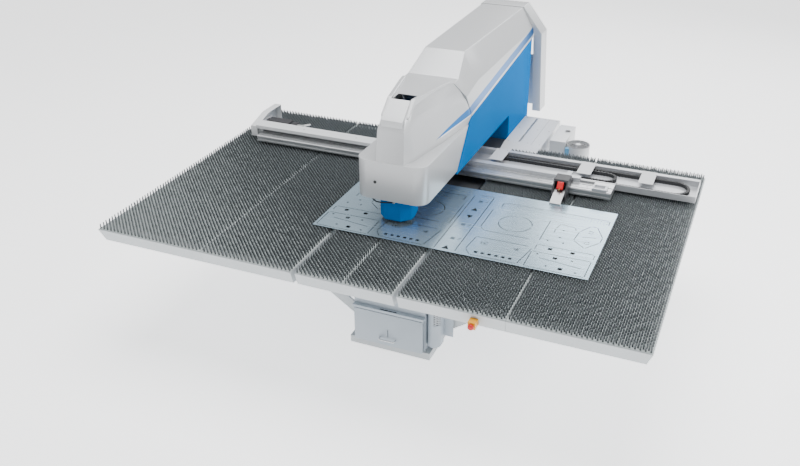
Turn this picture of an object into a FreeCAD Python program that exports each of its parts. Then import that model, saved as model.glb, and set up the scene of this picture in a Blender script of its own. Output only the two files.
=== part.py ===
import FreeCAD, Part
import os
from math import cos, pi, sin
from FreeCAD import Vector

# Single-head CNC punch press with brush tables, millimetres.
# +X is to the operator's right, +Y to the rear, +Z up.
# The origin is on the floor, straight below the punch axis.

# --- table -------------------------------------------------------------------------------------
TABLE_WIDTH = 3960.0
TABLE_FRONT = -942.0            # front edge of the rim, from the punch axis
TABLE_DEPTH = 2566.0
RIM_TOP = 1015.0
RIM_HEIGHT = 95.0
RIM_UNDERCUT = 32.0             # how far the rim leans back towards its lower edge
TRAY_SHEET = 4.0
TRAY_LIP = 34.0
OUTER_JOINT = 1100.0            # joint between the inner and outer side tables
CENTRE_HALF = 352.0             # half width of the fixed centre table
CARRIAGE_SLOT = 32.0            # slot between centre and side tables
PANEL_JOINT = 1.0
BRUSH_HEIGHT = 41.0
BRUSH_MARGIN = 6.0
BRUSH_SEAM = 4.0
FRONT_ROW_DEPTH = 812.0         # the front row of brush panels, from the rim
CENTRE_BRUSH_DEPTH = 1560.0     # brushes on the centre table, from the rim
DIE_OPENING_R = 78.0
BEAM_TUBE = 60.0
BEAM_WALL = 4.0
BEAM_COUNT = 4
SIDE_CLEAR = 0.2
BRACKET_THICK = 16.0
BRACKET_LOW = 110.0             # foot of the slanting arms, lower and upper edge
BRACKET_HIGH = 215.0
BRACKET_TIP = 1350.0
BRACKET_TIP_DEPTH = 46.0
GUSSET_HEIGHT = 190.0
LONG_TUBE_INNER = 430.0         # X of the three long tubes under each side table
LONG_TUBE_MIDDLE = 1000.0
LONG_TUBE_OUTER = 1300.0
CENTRE_TUBE = 200.0
REST_BAR = 40.0
REST_BAR_ROWS = (300.0, 550.0)
FOOT_GAP = 0.3                  # air left between pieces that move past each other

# --- welded frame ------------------------------------------------------------------------------
FRAME_HALF = 270.0
FRAME_PLATE = 30.0
ARM_UNDERSIDE = 1243.0
ARM_FRONT_LOW = 475.0
ARM_FRONT_HIGH = 765.0
ARM_TOP_FRONT = 1600.0
ARM_TOP_REAR = 1762.0
FRAME_REAR = 2420.0
THROAT_BACK = 1800.0
LOWER_ARM_TOP = 985.0
LOWER_ARM_BOTTOM = 430.0
LOWER_ARM_FRONT = -130.0
COLUMN_FRONT = 1400.0
NOSE_HALF = 190.0
NOSE_FRONT = 130.0
NOSE_BOTTOM = 1295.0
NOSE_TOP = 1530.0
BASE_THICK = 60.0
BASE_HALF = 330.0
BASE_FRONT = -215.0
BASE_REAR = 2540.0
ANCHOR_R = 11.0
ANCHOR_INSET = 30.0
ANCHOR_FIRST = 700.0            # front pair of anchor holes
ANCHOR_PITCH = 1600.0

# --- covers ------------------------------------------------------------------------------------
COVER_WALL = 5.0
COVER_HALF = 272.0
COVER_JOINT = 8.0               # open joint between head cover and arm cover
JOINT_TOP = (550.0, 1922.0)     # the slanted joint, as (Y, Z) at its top and its foot
JOINT_FOOT = (764.0, 1613.0)
HOOD_SHELF = 650.0              # where the sloping front panel of the arm cover starts
HOOD_BROW = 890.0
HOOD_TOP_FRONT = 2063.0
HOOD_TOP_REAR = 2052.0
HOOD_REAR = 2345.0
HOOD_SHOULDER = 1850.0
HOOD_LOW_SHOULDER = 1800.0
HOOD_SHELF_HALF = 200.0
HOOD_BROW_HALF = 160.0
HOOD_REAR_HALF = 190.0
REAR_HALF = 350.0
REAR_BOTTOM = 1018.0
REAR_DEPTH = 180.0
REAR_STEP = 6.0
COVER_EDGE = 3.0
REAR_LEAN = ((1018.0, 2580.0), (1800.0, 2445.0), (2058.0, 2345.0))   # (Z, Y) of its front edge
SKIRT_BOTTOM = 1262.0
SKIRT_TOP = 1552.0
SKIRT_FRONT = -172.0
SKIRT_HALF = 266.0
SKIRT_CORNER = 95.0
# (Z, then half width and Y at four places from the front to the rear)
BONNET_LEVELS = ((1540.0, ((105.0, -166.0), (148.0, -62.0), (222.0, 380.0), (268.0, 800.0))),
                 (1778.0, ((100.0, -138.0), (120.0, -70.0), (192.0, 380.0), (300.0, 800.0))),
                 (1850.0, ((85.0, -90.0), (108.0, -40.0), (184.0, 380.0), (288.0, 800.0))),
                 (1938.0, ((78.0, 38.0), (98.0, 60.0), (172.0, 380.0), (236.0, 800.0))))
WINDOW_HALF = 75.0
WINDOW_FRONT = 52.0
WINDOW_REAR = 176.0
COVER_TAB_Y = (300.0, 360.0)      # tabs that hold the head cover to the nose
COVER_TAB_Z = (1400.0, 1412.0)

# --- punching head -----------------------------------------------------------------------------
SHEET_BOTTOM = 1062.0
SHEET_THICK = 1.5
SHEET_LENGTH = 1997.0
SHEET_WIDTH = 992.0
SHEET_CENTRE_X = 468.0
SHEET_REAR = 638.0
HEAD_BLOCK_HALF = 125.0
HEAD_BLOCK_TOP = 1530.0
CYLINDER_R = 88.0
CYLINDER_TOP = 1800.0
CYLINDER_HEAD = 30.0            # metal left above the ram bore
VALVE_BLOCK_HALF = 55.0
VALVE_BLOCK_Y = (-40.0, 110.0)
VALVE_BLOCK_HEIGHT = 70.0
RAM_R = 30.0
RAM_TOP = 1700.0
RAM_STROKE = 23.0
SHAFT_FIT = 0.05                # radial running clearance
TOOL_HEAD_R = 92.0
TOOL_HEAD_BOTTOM = 1086.0
TOOL_HUB_R = 62.0
TOOL_HUB_LENGTH = 60.0
TOOL_PULLEY_R = 106.0
TOOL_PULLEY_WIDTH = 22.0
PUNCH_R = 7.5
PUNCH_LENGTH = 60.0
PUNCH_CLEARANCE = 0.5
GUARD_HALF = 122.0
GUARD_CHAMFER = 62.0
GUARD_WALL = 8.0
GUARD_BOTTOM = 1088.0
GUARD_BELT_GAP = 111.0
GUARD_RISE = 50.0
TOOL_STATIONS = 8
TOOL_STATION_RADIUS = 66.0
TOOL_STATION_R = 14.0
TOOL_STATION_DEPTH = 40.0
SPINDLE_DROP = 200.0
CHUTE_HALF = 60.0               # square way down for the slugs, below the die
DIE_TOP_GAP = 0.3
DIE_BARREL_R = 62.0
DIE_FLANGE_R = 100.0
DIE_FLANGE_THICK = 14.0
DIE_SPINDLE_R = 45.0
DIE_BORE_R = 18.0
DIE_PULLEY_R = 60.0
DIE_PULLEY_WIDTH = 22.0
INDEX_MOTOR_Y = 250.0
INDEX_MOTOR_R = 38.0
INDEX_MOTOR_LENGTH = 150.0
MOTOR_PULLEY_R = 30.0
BELT_THICK = 3.0
BELT_WIDTH = 16.0
MOTOR_SHAFT_R = 9.0

# --- bridge ------------------------------------------------------------------------------------
BRIDGE_BOTTOM = 1076.0
BRIDGE_TOP = 1130.0
BEAM_FRONT = 815.0
BEAM_REAR = 1003.0
BEAM_LEFT = -1700.0
BEAM_RIGHT = 1370.0
BEAM_SKIN = 8.0
COVER_LEFT = -1748.0
COVER_RIGHT = -250.0
COVER_FRONT = 880.0
COVER_REAR = BEAM_REAR
COVER_BOTTOM = 1163.0
COVER_TOP = 1192.0
COVER_SHEET = 3.0
COVER_POST = 24.0
CHAIN_START_Y = 1104.0
CAP_X = (-1812.0, COVER_LEFT)
CAP_FRONT = 905.0
CAP_RISE = 1115.0
CAP_REAR = 1330.0
CAP_LOW = 1168.0
CAP_HIGH = 1225.0
TRAY_LEFT = -300.0
TRAY_RIGHT = 1962.0
TRAY_FRONT = BEAM_REAR
TRAY_REAR = 1330.0
TRAY_TOP = 1126.0
TRAY_WALL = 4.0
TRAY_RIM = 40.0
LANE_OUTER = (1050.0, 1260.0)   # front and rear run of the long drag chain
LANE_INNER = (1082.0, 1228.0)
CHAIN_WIDTH = 20.0
CHAIN_HEIGHT = 28.0
LONG_LOOP_END = 1905.0
SHORT_LOOP_END = 1352.0
CHAIN_START = 330.0
PLATE_CENTRES = (378.0, 1098.0, 1577.0)
PLATE_WIDTH = 112.0
PLATE_FRONT = 1096.0
PLATE_THICK = 3.0
RAIL_Y = 955.0
RAIL_WIDTH = 20.0
RAIL_HEIGHT = 12.0
STOP_X = (1225.0, 1335.0)
STOP_DEPTH = 86.0
STOP_HEIGHT = 20.0
SADDLE_THICK = 24.0
SADDLE_LENGTH = 260.0
SADDLE_Y = 1050.0
SADDLE_BOTTOM = 755.0
GUIDE_Z = 800.0
GUIDE_SIZE = 30.0
GUIDE_START = 320.0
GUIDE_END = 1520.0
SCREW_R = 16.0
SCREW_Z = 880.0
SCREW_X = 316.0
SCREW_BLOCK = 44.0
DRIVE_X = (-1690.0, -1445.0)
DRIVE_REAR = 1150.0
DRIVE_PLATE = 12.0
DRIVE_MOTOR_SIZE = 96.0
DRIVE_ENCODER = 60.0
MOTOR_FLANGE = 14.0
HOSE_R = 5.0

# --- clamp carriage ----------------------------------------------------------------------------
CLAMP_OFFSET = 532.0            # each clamp from the middle of the sheet
CLAMP_HALF = 56.0
CLAMP_EAR = 12.0
CLAMP_REAR = 877.0
CLAMP_FRONT = 700.0
CLAMP_TOP = 1200.0
CLAMP_FLAT = 107.0               # level part of the clamp's top; in front of it the top slopes down
CLAMP_DROP = 100.0
JAW_PIVOT = (775.0, 1110.0)
JAW_PIN_R = 8.0
JAW_TIP = 612.0
JAW_SEAT = 1057.0
JAW_GRIP_GAP = 0.3
BAR_HALF_LENGTH = 640.0
BAR_FRONT = 930.0
BAR_REAR = 980.0
BAR_TOP = 1160.0

CHAIN_ARM_LOW = 1131.0
CHAIN_ARM_HIGH = 1138.0
CHAIN_ARM_HALF = 20.0

BRIDGE_HOSE_ROUTE = ((DRIVE_X[1], 1085.0, 1158.0), (-1395.0, 1085.0, 1158.0), (-1340.0, 1122.0, 1170.0),
                     (-1314.0, 1085.0, 1177.0), (-1350.0, 1046.0, 1178.0), (-1350.0, COVER_REAR, 1178.0))
HEAD_HOSE_ROUTE = ((22.0, -147.0, 1246.0), (-20.0, -152.0, 1240.0), (-75.0, -150.0, 1230.0),
                   (-128.0, -140.0, 1226.0), (-168.0, -112.0, 1240.0), (-180.0, -80.0, 1275.0),
                   (-170.0, -62.0, 1310.0), (-140.0, -60.0, 1325.0))
FITTING = 8.0

# --- pedestal, drawer and power pack -----------------------------------------------------------
HOUSING_HALF = 290.0
HOUSING_WALL = 8.0
HOUSING_FRONT = -205.0
HOUSING_REAR = 236.0
LEDGE_TOP = 372.0
ARM_PAD = 90.0
ARM_PAD_ROWS = (-125.0, 120.0)
LEDGE_BOTTOM = 352.0
DRAWER_FRONT = -242.0
DRAWER_HALF = 279.0
DRAWER_BOTTOM = 64.0
DRAWER_TOP = 346.0
DRAWER_SHEET = 4.0
DRAWER_DEPTH = 440.0
HANDLE_SPAN = 128.0
HANDLE_REACH = 34.0
HANDLE_R = 5.5
HANDLE_Z = 130.0
COLUMN_X = 345.0
COLUMN_Y = -150.0
COLUMN_R = 52.0
COLUMN_BOTTOM = 115.0
SIDE_PLATE_X = 470.0
COLUMN_BACK = 60.0
VENT_LOW = 310.0
VENT_HIGH = 560.0
PANEL_LOW = 170.0
PANEL_FLANGE_LOW = 262.0
PANEL_DEPTH = 46.0
PANEL_REAR = 190.0
SLUG_SLOT_HALF = 70.0
PACK_WALL = 5.0
FILLER_X = 770.0
FILLER_BACK = 280.0             # from the front of the tank
FILLER_R = 28.0
FILLER_RISE = 6.0
FAN_BLADES = 7
DECK_LOW = 820.0
BUTTON_BORE = 30.0
BUTTON_STEM_R = 11.0
BUTTON_HEAD = 18.0
PACK_X = (650.0, 1010.0)
PACK_GAP = 41.0                 # air between the table's rear edge and the tank
PACK_DEPTH = 445.0
PACK_TOP = 640.0
VALVE_X = (670.0, 806.0)
VALVE_FRONT_SET = 40.0
VALVE_REAR_SET = 15.0
VALVE_TOP = 1110.0
PUMP_X = 905.0
PUMP_BACK = 107.0
PUMP_R = 98.0
PUMP_TOP = 1082.0
FAN_R = 80.0
FAN_SHAFT_R = 12.0
FAN_THICK = 24.0
GRILLE_THICK = 3.0
GRILLE_RINGS = (34.0, 48.0, 62.0, 76.0)
GRILLE_SLOT = 8.0
DECK_TOP = 1040.0
DECK_HALF_IN = FRAME_HALF
DECK_HALF_OUT = 604.0
DECK_FRONT = 1548.0
DECK_RAMP = 1700.0
DECK_REAR = 2360.0
DECK_SHEET = 4.0
DECK_LEG_Y = 1940.0
DECK_SLOT = (383.0, 403.0)
DECK_SLOT_Y = (1735.0, 2330.0)
ESTOP_X = 902.0
ESTOP_SIZE = 50.0
ESTOP_TOP = 985.0
ESTOP_DEPTH = 46.0
MUSHROOM_R = 20.0
BUTTON_TRAVEL = 6.0

# --- worked-out sizes --------------------------------------------------------------------------
TABLE_HALF = TABLE_WIDTH / 2
TABLE_REAR = TABLE_FRONT + TABLE_DEPTH
RIM_BOTTOM = RIM_TOP - RIM_HEIGHT
PACK_Y = (TABLE_REAR + PACK_GAP, TABLE_REAR + PACK_GAP + PACK_DEPTH)
VALVE_Y = (PACK_Y[0] + VALVE_FRONT_SET, PACK_Y[1] - VALVE_REAR_SET)
FILLER = (FILLER_X, PACK_Y[0] + FILLER_BACK)
PUMP_Y = PACK_Y[0] + PUMP_BACK
SIDE_INNER = CENTRE_HALF + CARRIAGE_SLOT
BRUSH_TOP = RIM_TOP + BRUSH_HEIGHT
SHEET_TOP = SHEET_BOTTOM + SHEET_THICK
HEAD_BLOCK_BOTTOM = NOSE_BOTTOM
TOOL_HEAD_TOP = HEAD_BLOCK_BOTTOM - 3 * FOOT_GAP
PULLEY_TOP = TOOL_HEAD_TOP - 4.0
DIE_TOP = SHEET_BOTTOM - DIE_TOP_GAP
CENTRE_BRUSH_REAR = TABLE_FRONT + CENTRE_BRUSH_DEPTH
SADDLE_INNER = CENTRE_HALF + FOOT_GAP + 3.0
RAM_TIP = TOOL_HEAD_BOTTOM + 1.0
CLAMP_CENTRES = (SHEET_CENTRE_X - CLAMP_OFFSET, SHEET_CENTRE_X + CLAMP_OFFSET)
BELT_INNER_R = MOTOR_PULLEY_R - BELT_THICK - 2.0
BEND_SHARE = 0.45                # share of the shorter run that each arc of a hose takes


def box(x0, x1, y0, y1, z0, z1):
    """A block between three pairs of limits."""
    return Part.makeBox(x1 - x0, y1 - y0, z1 - z0, Vector(x0, y0, z0))


def rod(x, y, z0, z1, r):
    """An upright cylinder."""
    return Part.makeCylinder(r, z1 - z0, Vector(x, y, z0))


def rod_x(x0, x1, y, z, r):
    """A cylinder lying along X."""
    return Part.makeCylinder(r, x1 - x0, Vector(x0, y, z), Vector(1, 0, 0))


def rod_y(x, y0, y1, z, r):
    """A cylinder lying along Y."""
    return Part.makeCylinder(r, y1 - y0, Vector(x, y0, z), Vector(0, 1, 0))


def outline(points):
    """A closed wire through the points."""
    vectors = [Vector(*p) for p in points]
    return Part.makePolygon(vectors + vectors[:1])


def prism_x(yz, x0, x1):
    """An outline in the YZ plane, carried along X."""
    face = Part.Face(outline([(x0, y, z) for y, z in yz]))
    return face.extrude(Vector(x1 - x0, 0, 0))


def prism_y(xz, y0, y1):
    """An outline in the XZ plane, carried along Y."""
    face = Part.Face(outline([(x, y0, z) for x, z in xz]))
    return face.extrude(Vector(0, y1 - y0, 0))


def prism_z(xy, z0, z1):
    """An outline in the XY plane, carried along Z."""
    face = Part.Face(outline([(x, y, z0) for x, y in xy]))
    return face.extrude(Vector(0, 0, z1 - z0))


def loft(sections):
    """A solid with straight sides through a row of outlines."""
    return Part.makeLoft([outline(s) for s in sections], True, True)


def mirrored(shape):
    """The same shape on the other side of the machine."""
    return shape.mirror(Vector(0, 0, 0), Vector(1, 0, 0))


def fused(shapes):
    """One solid from touching shapes."""
    return shapes[0].fuse(shapes[1:]).removeSplitter()


def group(shapes):
    """Separate solids of like kind, kept in one node."""
    return Part.makeCompound(shapes)


def bent_tube(points, radius):
    """A round tube along straight runs joined by arcs as large as the runs allow."""
    path = [Vector(*p) for p in points]
    edges = []
    start = path[0]
    for before, corner, after in zip(path, path[1:], path[2:]):
        reach = BEND_SHARE * min(before.distanceToPoint(corner), corner.distanceToPoint(after))
        back = (before - corner).normalize()
        onward = (after - corner).normalize()
        half = back.getAngle(onward) / 2
        bend = reach * sin(half) / cos(half)
        print("hose bend radius", round(bend, 1))
        first = corner + back * reach
        last = corner + onward * reach
        middle = corner + (back + onward).normalize() * (bend / sin(half) - bend)
        edges.append(Part.LineSegment(start, first).toShape())
        edges.append(Part.Arc(first, middle, last).toShape())
        start = last
    edges.append(Part.LineSegment(start, path[-1]).toShape())
    circle = Part.makeCircle(radius, path[0], path[1] - path[0])
    return Part.Wire(edges).makePipeShell([Part.Wire([circle])], True, False)


# --- table -------------------------------------------------------------------------------------
def tray_body(x0, x1, inset, lean_left, lean_right, y_rear):
    """The block a table tray is folded from, drawn in by its sheet thickness when inset is set."""
    z_top = RIM_TOP - inset
    z_low = RIM_BOTTOM - inset
    slope = RIM_UNDERCUT / RIM_HEIGHT
    left_low = x0 + inset + (RIM_UNDERCUT if lean_left else 0)
    right_low = x1 - inset - (RIM_UNDERCUT if lean_right else 0)
    front_top = TABLE_FRONT + inset + slope * inset
    front_low = front_top + RIM_UNDERCUT
    back = y_rear - inset
    upper = [(x0 + inset, front_top, z_top), (x1 - inset, front_top, z_top),
             (x1 - inset, back, z_top), (x0 + inset, back, z_top)]
    lower = [(left_low, front_low, z_low), (right_low, front_low, z_low),
             (right_low, back, z_low), (left_low, back, z_low)]
    return loft([lower, upper])


def folded_tray(x0, x1, lean_left=False, lean_right=False):
    """A folded sheet tray: flat top, leaning front rim with a return lip, plain sides."""
    block = tray_body(x0, x1, 0, lean_left, lean_right, TABLE_REAR)
    hollow = tray_body(x0, x1, TRAY_SHEET, lean_left, lean_right, TABLE_REAR)
    tray = block.cut(hollow)
    lip_front = TABLE_FRONT + RIM_UNDERCUT + TRAY_SHEET
    lip = box(x0 + RIM_UNDERCUT + TRAY_SHEET, x1 - RIM_UNDERCUT - TRAY_SHEET,
              lip_front - 1, lip_front + TRAY_LIP, RIM_BOTTOM, RIM_BOTTOM + TRAY_SHEET)
    return fused([tray, lip])


def table_tray_left_outer():
    return folded_tray(-TABLE_HALF, -OUTER_JOINT - PANEL_JOINT, lean_left=True)


def table_tray_right_outer():
    return folded_tray(OUTER_JOINT + PANEL_JOINT, TABLE_HALF, lean_right=True)


def deck_clearance():
    """The corner of an inner table that the rear deck takes up."""
    return box(0, DECK_HALF_OUT + FOOT_GAP, DECK_FRONT - FOOT_GAP, TABLE_REAR + 1, 0, DECK_TOP)


def table_tray_right_inner():
    tray = folded_tray(SIDE_INNER, OUTER_JOINT - PANEL_JOINT)
    return tray.cut(deck_clearance())


def table_tray_left_inner():
    return mirrored(table_tray_right_inner())


def table_tray_centre():
    """The fixed centre table; it ends where the throat plate starts."""
    block = tray_body(-CENTRE_HALF, CENTRE_HALF, 0, False, False, CENTRE_BRUSH_REAR)
    hollow = tray_body(-CENTRE_HALF, CENTRE_HALF, TRAY_SHEET, False, False, CENTRE_BRUSH_REAR)
    tray = block.cut(hollow)
    arm = box(-FRAME_HALF - 1, FRAME_HALF + 1, LOWER_ARM_FRONT - 1, CENTRE_BRUSH_REAR + 1,
              0, LOWER_ARM_TOP)
    hole = rod(0, 0, RIM_BOTTOM, RIM_TOP + 1, DIE_FLANGE_R + 5)
    return tray.cut(arm).cut(hole)


def pad(x0, x1, y0, y1):
    """One brush panel, from its carrier plate to its bristle tips."""
    half = BRUSH_SEAM / 2
    return box(x0 + half, x1 - half, y0 + half, y1 - half, RIM_TOP, BRUSH_TOP)


def side_pads():
    """The brush panels of the right-hand tables, outer and inner, in two rows."""
    front = TABLE_FRONT + BRUSH_MARGIN
    row = TABLE_FRONT + FRONT_ROW_DEPTH
    rear = TABLE_REAR - BRUSH_MARGIN
    edge = TABLE_HALF - BRUSH_MARGIN
    pads = [pad(OUTER_JOINT, edge, front, row), pad(OUTER_JOINT, edge, row, rear)]
    pads.append(pad(SIDE_INNER, OUTER_JOINT, front, row))
    inner = pad(SIDE_INNER, OUTER_JOINT, row, rear)
    pads.append(inner.cut(deck_clearance().translated(Vector(0, 0, BRUSH_TOP - DECK_TOP))))
    return pads


def brushes_right():
    return group(side_pads())


def brushes_left():
    return group([mirrored(p) for p in side_pads()])


def brushes_centre():
    """Centre panels either side of the middle seam, with room for the die head."""
    front = TABLE_FRONT + BRUSH_MARGIN
    row = TABLE_FRONT + FRONT_ROW_DEPTH
    hole = rod(0, 0, RIM_TOP - 1, BRUSH_TOP + 1, DIE_OPENING_R)
    pads = []
    for x0, x1 in ((-CENTRE_HALF, 0), (0, CENTRE_HALF)):
        pads.append(pad(x0, x1, front, row))
        pads.append(pad(x0, x1, row, CENTRE_BRUSH_REAR).cut(hole))
    return group(pads)


def throat_plate():
    """Dark steel floor of the throat, narrower between the rear decks."""
    y_step = DECK_FRONT - FOOT_GAP
    wide = box(-CENTRE_HALF, CENTRE_HALF, CENTRE_BRUSH_REAR + PANEL_JOINT, y_step, LOWER_ARM_TOP, RIM_TOP)
    half = FRAME_HALF - FOOT_GAP
    return fused([wide, box(-half, half, y_step, THROAT_BACK - PANEL_JOINT, LOWER_ARM_TOP, RIM_TOP)])


def square_tube(x0, x1, y, z_top):
    """A square steel tube along X."""
    half = BEAM_TUBE / 2
    solid = box(x0, x1, y - half, y + half, z_top - BEAM_TUBE, z_top)
    inner = box(x0 - 1, x1 + 1, y - half + BEAM_WALL, y + half - BEAM_WALL,
                z_top - BEAM_TUBE + BEAM_WALL, z_top - BEAM_WALL)
    return solid.cut(inner)


def beam_rows():
    """The Y places of the tubes that carry the side tables."""
    first = TABLE_FRONT + 150
    last = DECK_FRONT - 120
    return [first + i * (last - first) / (BEAM_COUNT - 1) for i in range(BEAM_COUNT)]


def long_tube(x, y0, y1, z_top):
    """A square steel tube along Y."""
    half = BEAM_TUBE / 2
    solid = box(x - half, x + half, y0, y1, z_top - BEAM_TUBE, z_top)
    inner = box(x - half + BEAM_WALL, x + half - BEAM_WALL, y0 - 1, y1 + 1,
                z_top - BEAM_TUBE + BEAM_WALL, z_top - BEAM_WALL)
    return solid.cut(inner)


def table_beams_right():
    """Square tubes under the right-hand tables: four rows across on three long ones."""
    x0 = SIDE_INNER + 16
    x1 = TABLE_HALF - RIM_UNDERCUT - 40
    joint_gap = 2 * TRAY_SHEET + PANEL_JOINT + 4
    z_top = RIM_TOP - TRAY_SHEET
    rows = [square_tube(x0, x1, y, z_top) for y in beam_rows()]
    slit = box(OUTER_JOINT - joint_gap, OUTER_JOINT + joint_gap, TABLE_FRONT, TABLE_REAR,
               RIM_BOTTOM - 1, z_top + 1)
    y0 = TABLE_FRONT + RIM_UNDERCUT + 2 * TRAY_LIP
    y1 = TABLE_REAR - 2 * TRAY_SHEET
    longs = [long_tube(x, y0, y1, z_top - BEAM_TUBE)
             for x in (LONG_TUBE_INNER, LONG_TUBE_MIDDLE, LONG_TUBE_OUTER)]
    return group([tube.cut(slit) for tube in rows] + longs)


def table_beams_left():
    return mirrored(table_beams_right())


def long_tube_foot():
    """Underside of the long tubes, where the slanting arms carry them."""
    return RIM_TOP - TRAY_SHEET - 2 * BEAM_TUBE


def bracket_arm(root, y):
    """One slanting plate arm, from the pedestal or the frame out to the long tubes."""
    z_top = long_tube_foot()
    rest = LONG_TUBE_MIDDLE - BEAM_TUBE
    rise = (z_top - BRACKET_TIP_DEPTH - BRACKET_LOW) / (BRACKET_TIP - root)
    side = [(root, BRACKET_LOW), (BRACKET_TIP, z_top - BRACKET_TIP_DEPTH), (BRACKET_TIP, z_top),
            (rest, z_top), (rest, BRACKET_HIGH + rise * (rest - root)), (root, BRACKET_HIGH)]
    return prism_y(side, y - BRACKET_THICK / 2, y + BRACKET_THICK / 2)


def gusset(root, y):
    """Short plate that carries the innermost long tube."""
    z_top = long_tube_foot()
    tip = LONG_TUBE_INNER + BEAM_TUBE / 2
    side = [(root, z_top - GUSSET_HEIGHT), (tip, z_top - BRACKET_TIP_DEPTH), (tip, z_top), (root, z_top)]
    return prism_y(side, y - BRACKET_THICK / 2, y + BRACKET_THICK / 2)


def table_brackets():
    """Slanting arms and short gussets on both sides that carry the side tables."""
    front_row = beam_rows()[1]
    rear_row = beam_rows()[-1]
    gusset_row = GUIDE_END + SCREW_BLOCK + BRACKET_THICK
    arms = [bracket_arm(HOUSING_HALF, front_row), bracket_arm(FRAME_HALF, rear_row),
            gusset(HOUSING_HALF, front_row), gusset(FRAME_HALF, gusset_row)]
    return group(arms + [mirrored(arm) for arm in arms])


def centre_table_arms():
    """Two tubes out from the lower arm and two rest bars on it, under the centre table."""
    z_top = RIM_TOP - TRAY_SHEET
    y0 = TABLE_FRONT + RIM_UNDERCUT + 2 * TRAY_LIP
    tubes = [long_tube(x, y0, LOWER_ARM_FRONT, z_top) for x in (-CENTRE_TUBE, CENTRE_TUBE)]
    bars = [box(-CENTRE_TUBE, CENTRE_TUBE, y, y + REST_BAR, LOWER_ARM_TOP, z_top) for y in REST_BAR_ROWS]
    return group(tubes + bars)


# --- machine frame -----------------------------------------------------------------------------
def frame_outline():
    """The C of the frame, seen from the side."""
    return [(ARM_FRONT_LOW, ARM_UNDERSIDE), (ARM_FRONT_HIGH, ARM_TOP_FRONT),
            (FRAME_REAR, ARM_TOP_REAR), (FRAME_REAR, BASE_THICK), (COLUMN_FRONT, BASE_THICK),
            (COLUMN_FRONT, LOWER_ARM_BOTTOM), (LOWER_ARM_FRONT, LOWER_ARM_BOTTOM),
            (LOWER_ARM_FRONT, LOWER_ARM_TOP), (THROAT_BACK, LOWER_ARM_TOP),
            (THROAT_BACK, ARM_UNDERSIDE)]


def frame_hollow():
    """The inside of the plate-built frame, clear of its skin on every side."""
    flat = Part.Face(outline([(0, y, z) for y, z in frame_outline()]))
    inner = flat.makeOffset2D(-FRAME_PLATE, 2)
    half = FRAME_HALF - FRAME_PLATE
    return inner.translated(Vector(-half, 0, 0)).extrude(Vector(2 * half, 0, 0))


def c_frame():
    """Plate-built C frame with a narrower nose for the head and a bore for the die spindle."""
    shell = prism_x(frame_outline(), -FRAME_HALF, FRAME_HALF)
    nose = box(-NOSE_HALF, NOSE_HALF, NOSE_FRONT, ARM_FRONT_HIGH, NOSE_BOTTOM, NOSE_TOP)
    nose_hollow = box(-NOSE_HALF + FRAME_PLATE, NOSE_HALF - FRAME_PLATE, NOSE_FRONT + FRAME_PLATE,
                      ARM_FRONT_HIGH, NOSE_BOTTOM + FRAME_PLATE, NOSE_TOP - FRAME_PLATE)
    frame = shell.fuse(nose).cut(frame_hollow()).cut(nose_hollow)
    bore = rod(0, 0, LOWER_ARM_TOP - 2 * FRAME_PLATE, LOWER_ARM_TOP + 1, DIE_SPINDLE_R + SHAFT_FIT)
    chute = box(-CHUTE_HALF, CHUTE_HALF, -CHUTE_HALF, CHUTE_HALF,
                LOWER_ARM_BOTTOM - 1, LOWER_ARM_BOTTOM + 2 * FRAME_PLATE)
    motor_hole = rod(0, INDEX_MOTOR_Y, NOSE_BOTTOM - 1, NOSE_BOTTOM + 2 * FRAME_PLATE, MOTOR_PULLEY_R)
    return frame.cut(bore).cut(chute).cut(motor_hole).removeSplitter()


def anchor_places():
    """The anchor holes of the base plate."""
    x = BASE_HALF - ANCHOR_INSET
    return [(sx * x, y) for sx in (-1, 1) for y in (ANCHOR_FIRST, ANCHOR_FIRST + ANCHOR_PITCH)]


def base_plate():
    """Thick base plate with a shelf for the power pack and holes for floor anchors."""
    plate = box(-BASE_HALF, BASE_HALF, BASE_FRONT, BASE_REAR, 0, BASE_THICK)
    shelf = box(0, PACK_X[1], PACK_Y[0], PACK_Y[1], 0, BASE_THICK)
    holes = [rod(x, y, -1, BASE_THICK + 1, ANCHOR_R) for x, y in anchor_places()]
    return fused([plate, shelf]).cut(holes)


# --- covers ------------------------------------------------------------------------------------
def rear_block(inset):
    """The block of the rear cover: chamfered seen from behind, leaning seen from the side."""
    half = REAR_HALF - inset
    top_half = HOOD_REAR_HALF + REAR_STEP - inset
    z_top = REAR_LEAN[-1][0] - inset
    z_mid = REAR_LEAN[1][0]
    section = [(-half, REAR_BOTTOM - inset), (-half, z_mid), (-top_half, z_top), (top_half, z_top),
               (half, z_mid), (half, REAR_BOTTOM - inset)]
    front = [(y + inset, z) for z, y in REAR_LEAN]
    back = [(y + REAR_DEPTH - inset, z) for z, y in reversed(REAR_LEAN)]
    side = [(front[0][0], 0)] + front + back + [(back[-1][0], 0)]
    return prism_y(section, front[-1][0], back[-1][0]).common(prism_x(side, -half, half))


def rear_cover():
    """One-piece cowl over the back of the frame, with a front flange that meets the arm cover."""
    half = COVER_HALF + FOOT_GAP
    top_half = HOOD_REAR_HALF + FOOT_GAP
    z_top = HOOD_TOP_REAR + FOOT_GAP
    opening = [(-half, REAR_BOTTOM - 1), (-half, HOOD_SHOULDER), (-top_half, z_top), (top_half, z_top),
               (half, HOOD_SHOULDER), (half, REAR_BOTTOM - 1)]
    gate = prism_y(opening, HOOD_REAR - 1, REAR_LEAN[0][1] + REAR_DEPTH / 2)
    return rear_block(0).cut(rear_block(COVER_WALL)).cut(gate)


def seam_z(y):
    """Height of the line where the arm cover stands on the frame."""
    slope = (ARM_TOP_REAR - ARM_TOP_FRONT) / (FRAME_REAR - ARM_FRONT_HIGH)
    return ARM_TOP_FRONT + slope * (y - ARM_FRONT_HIGH)


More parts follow.
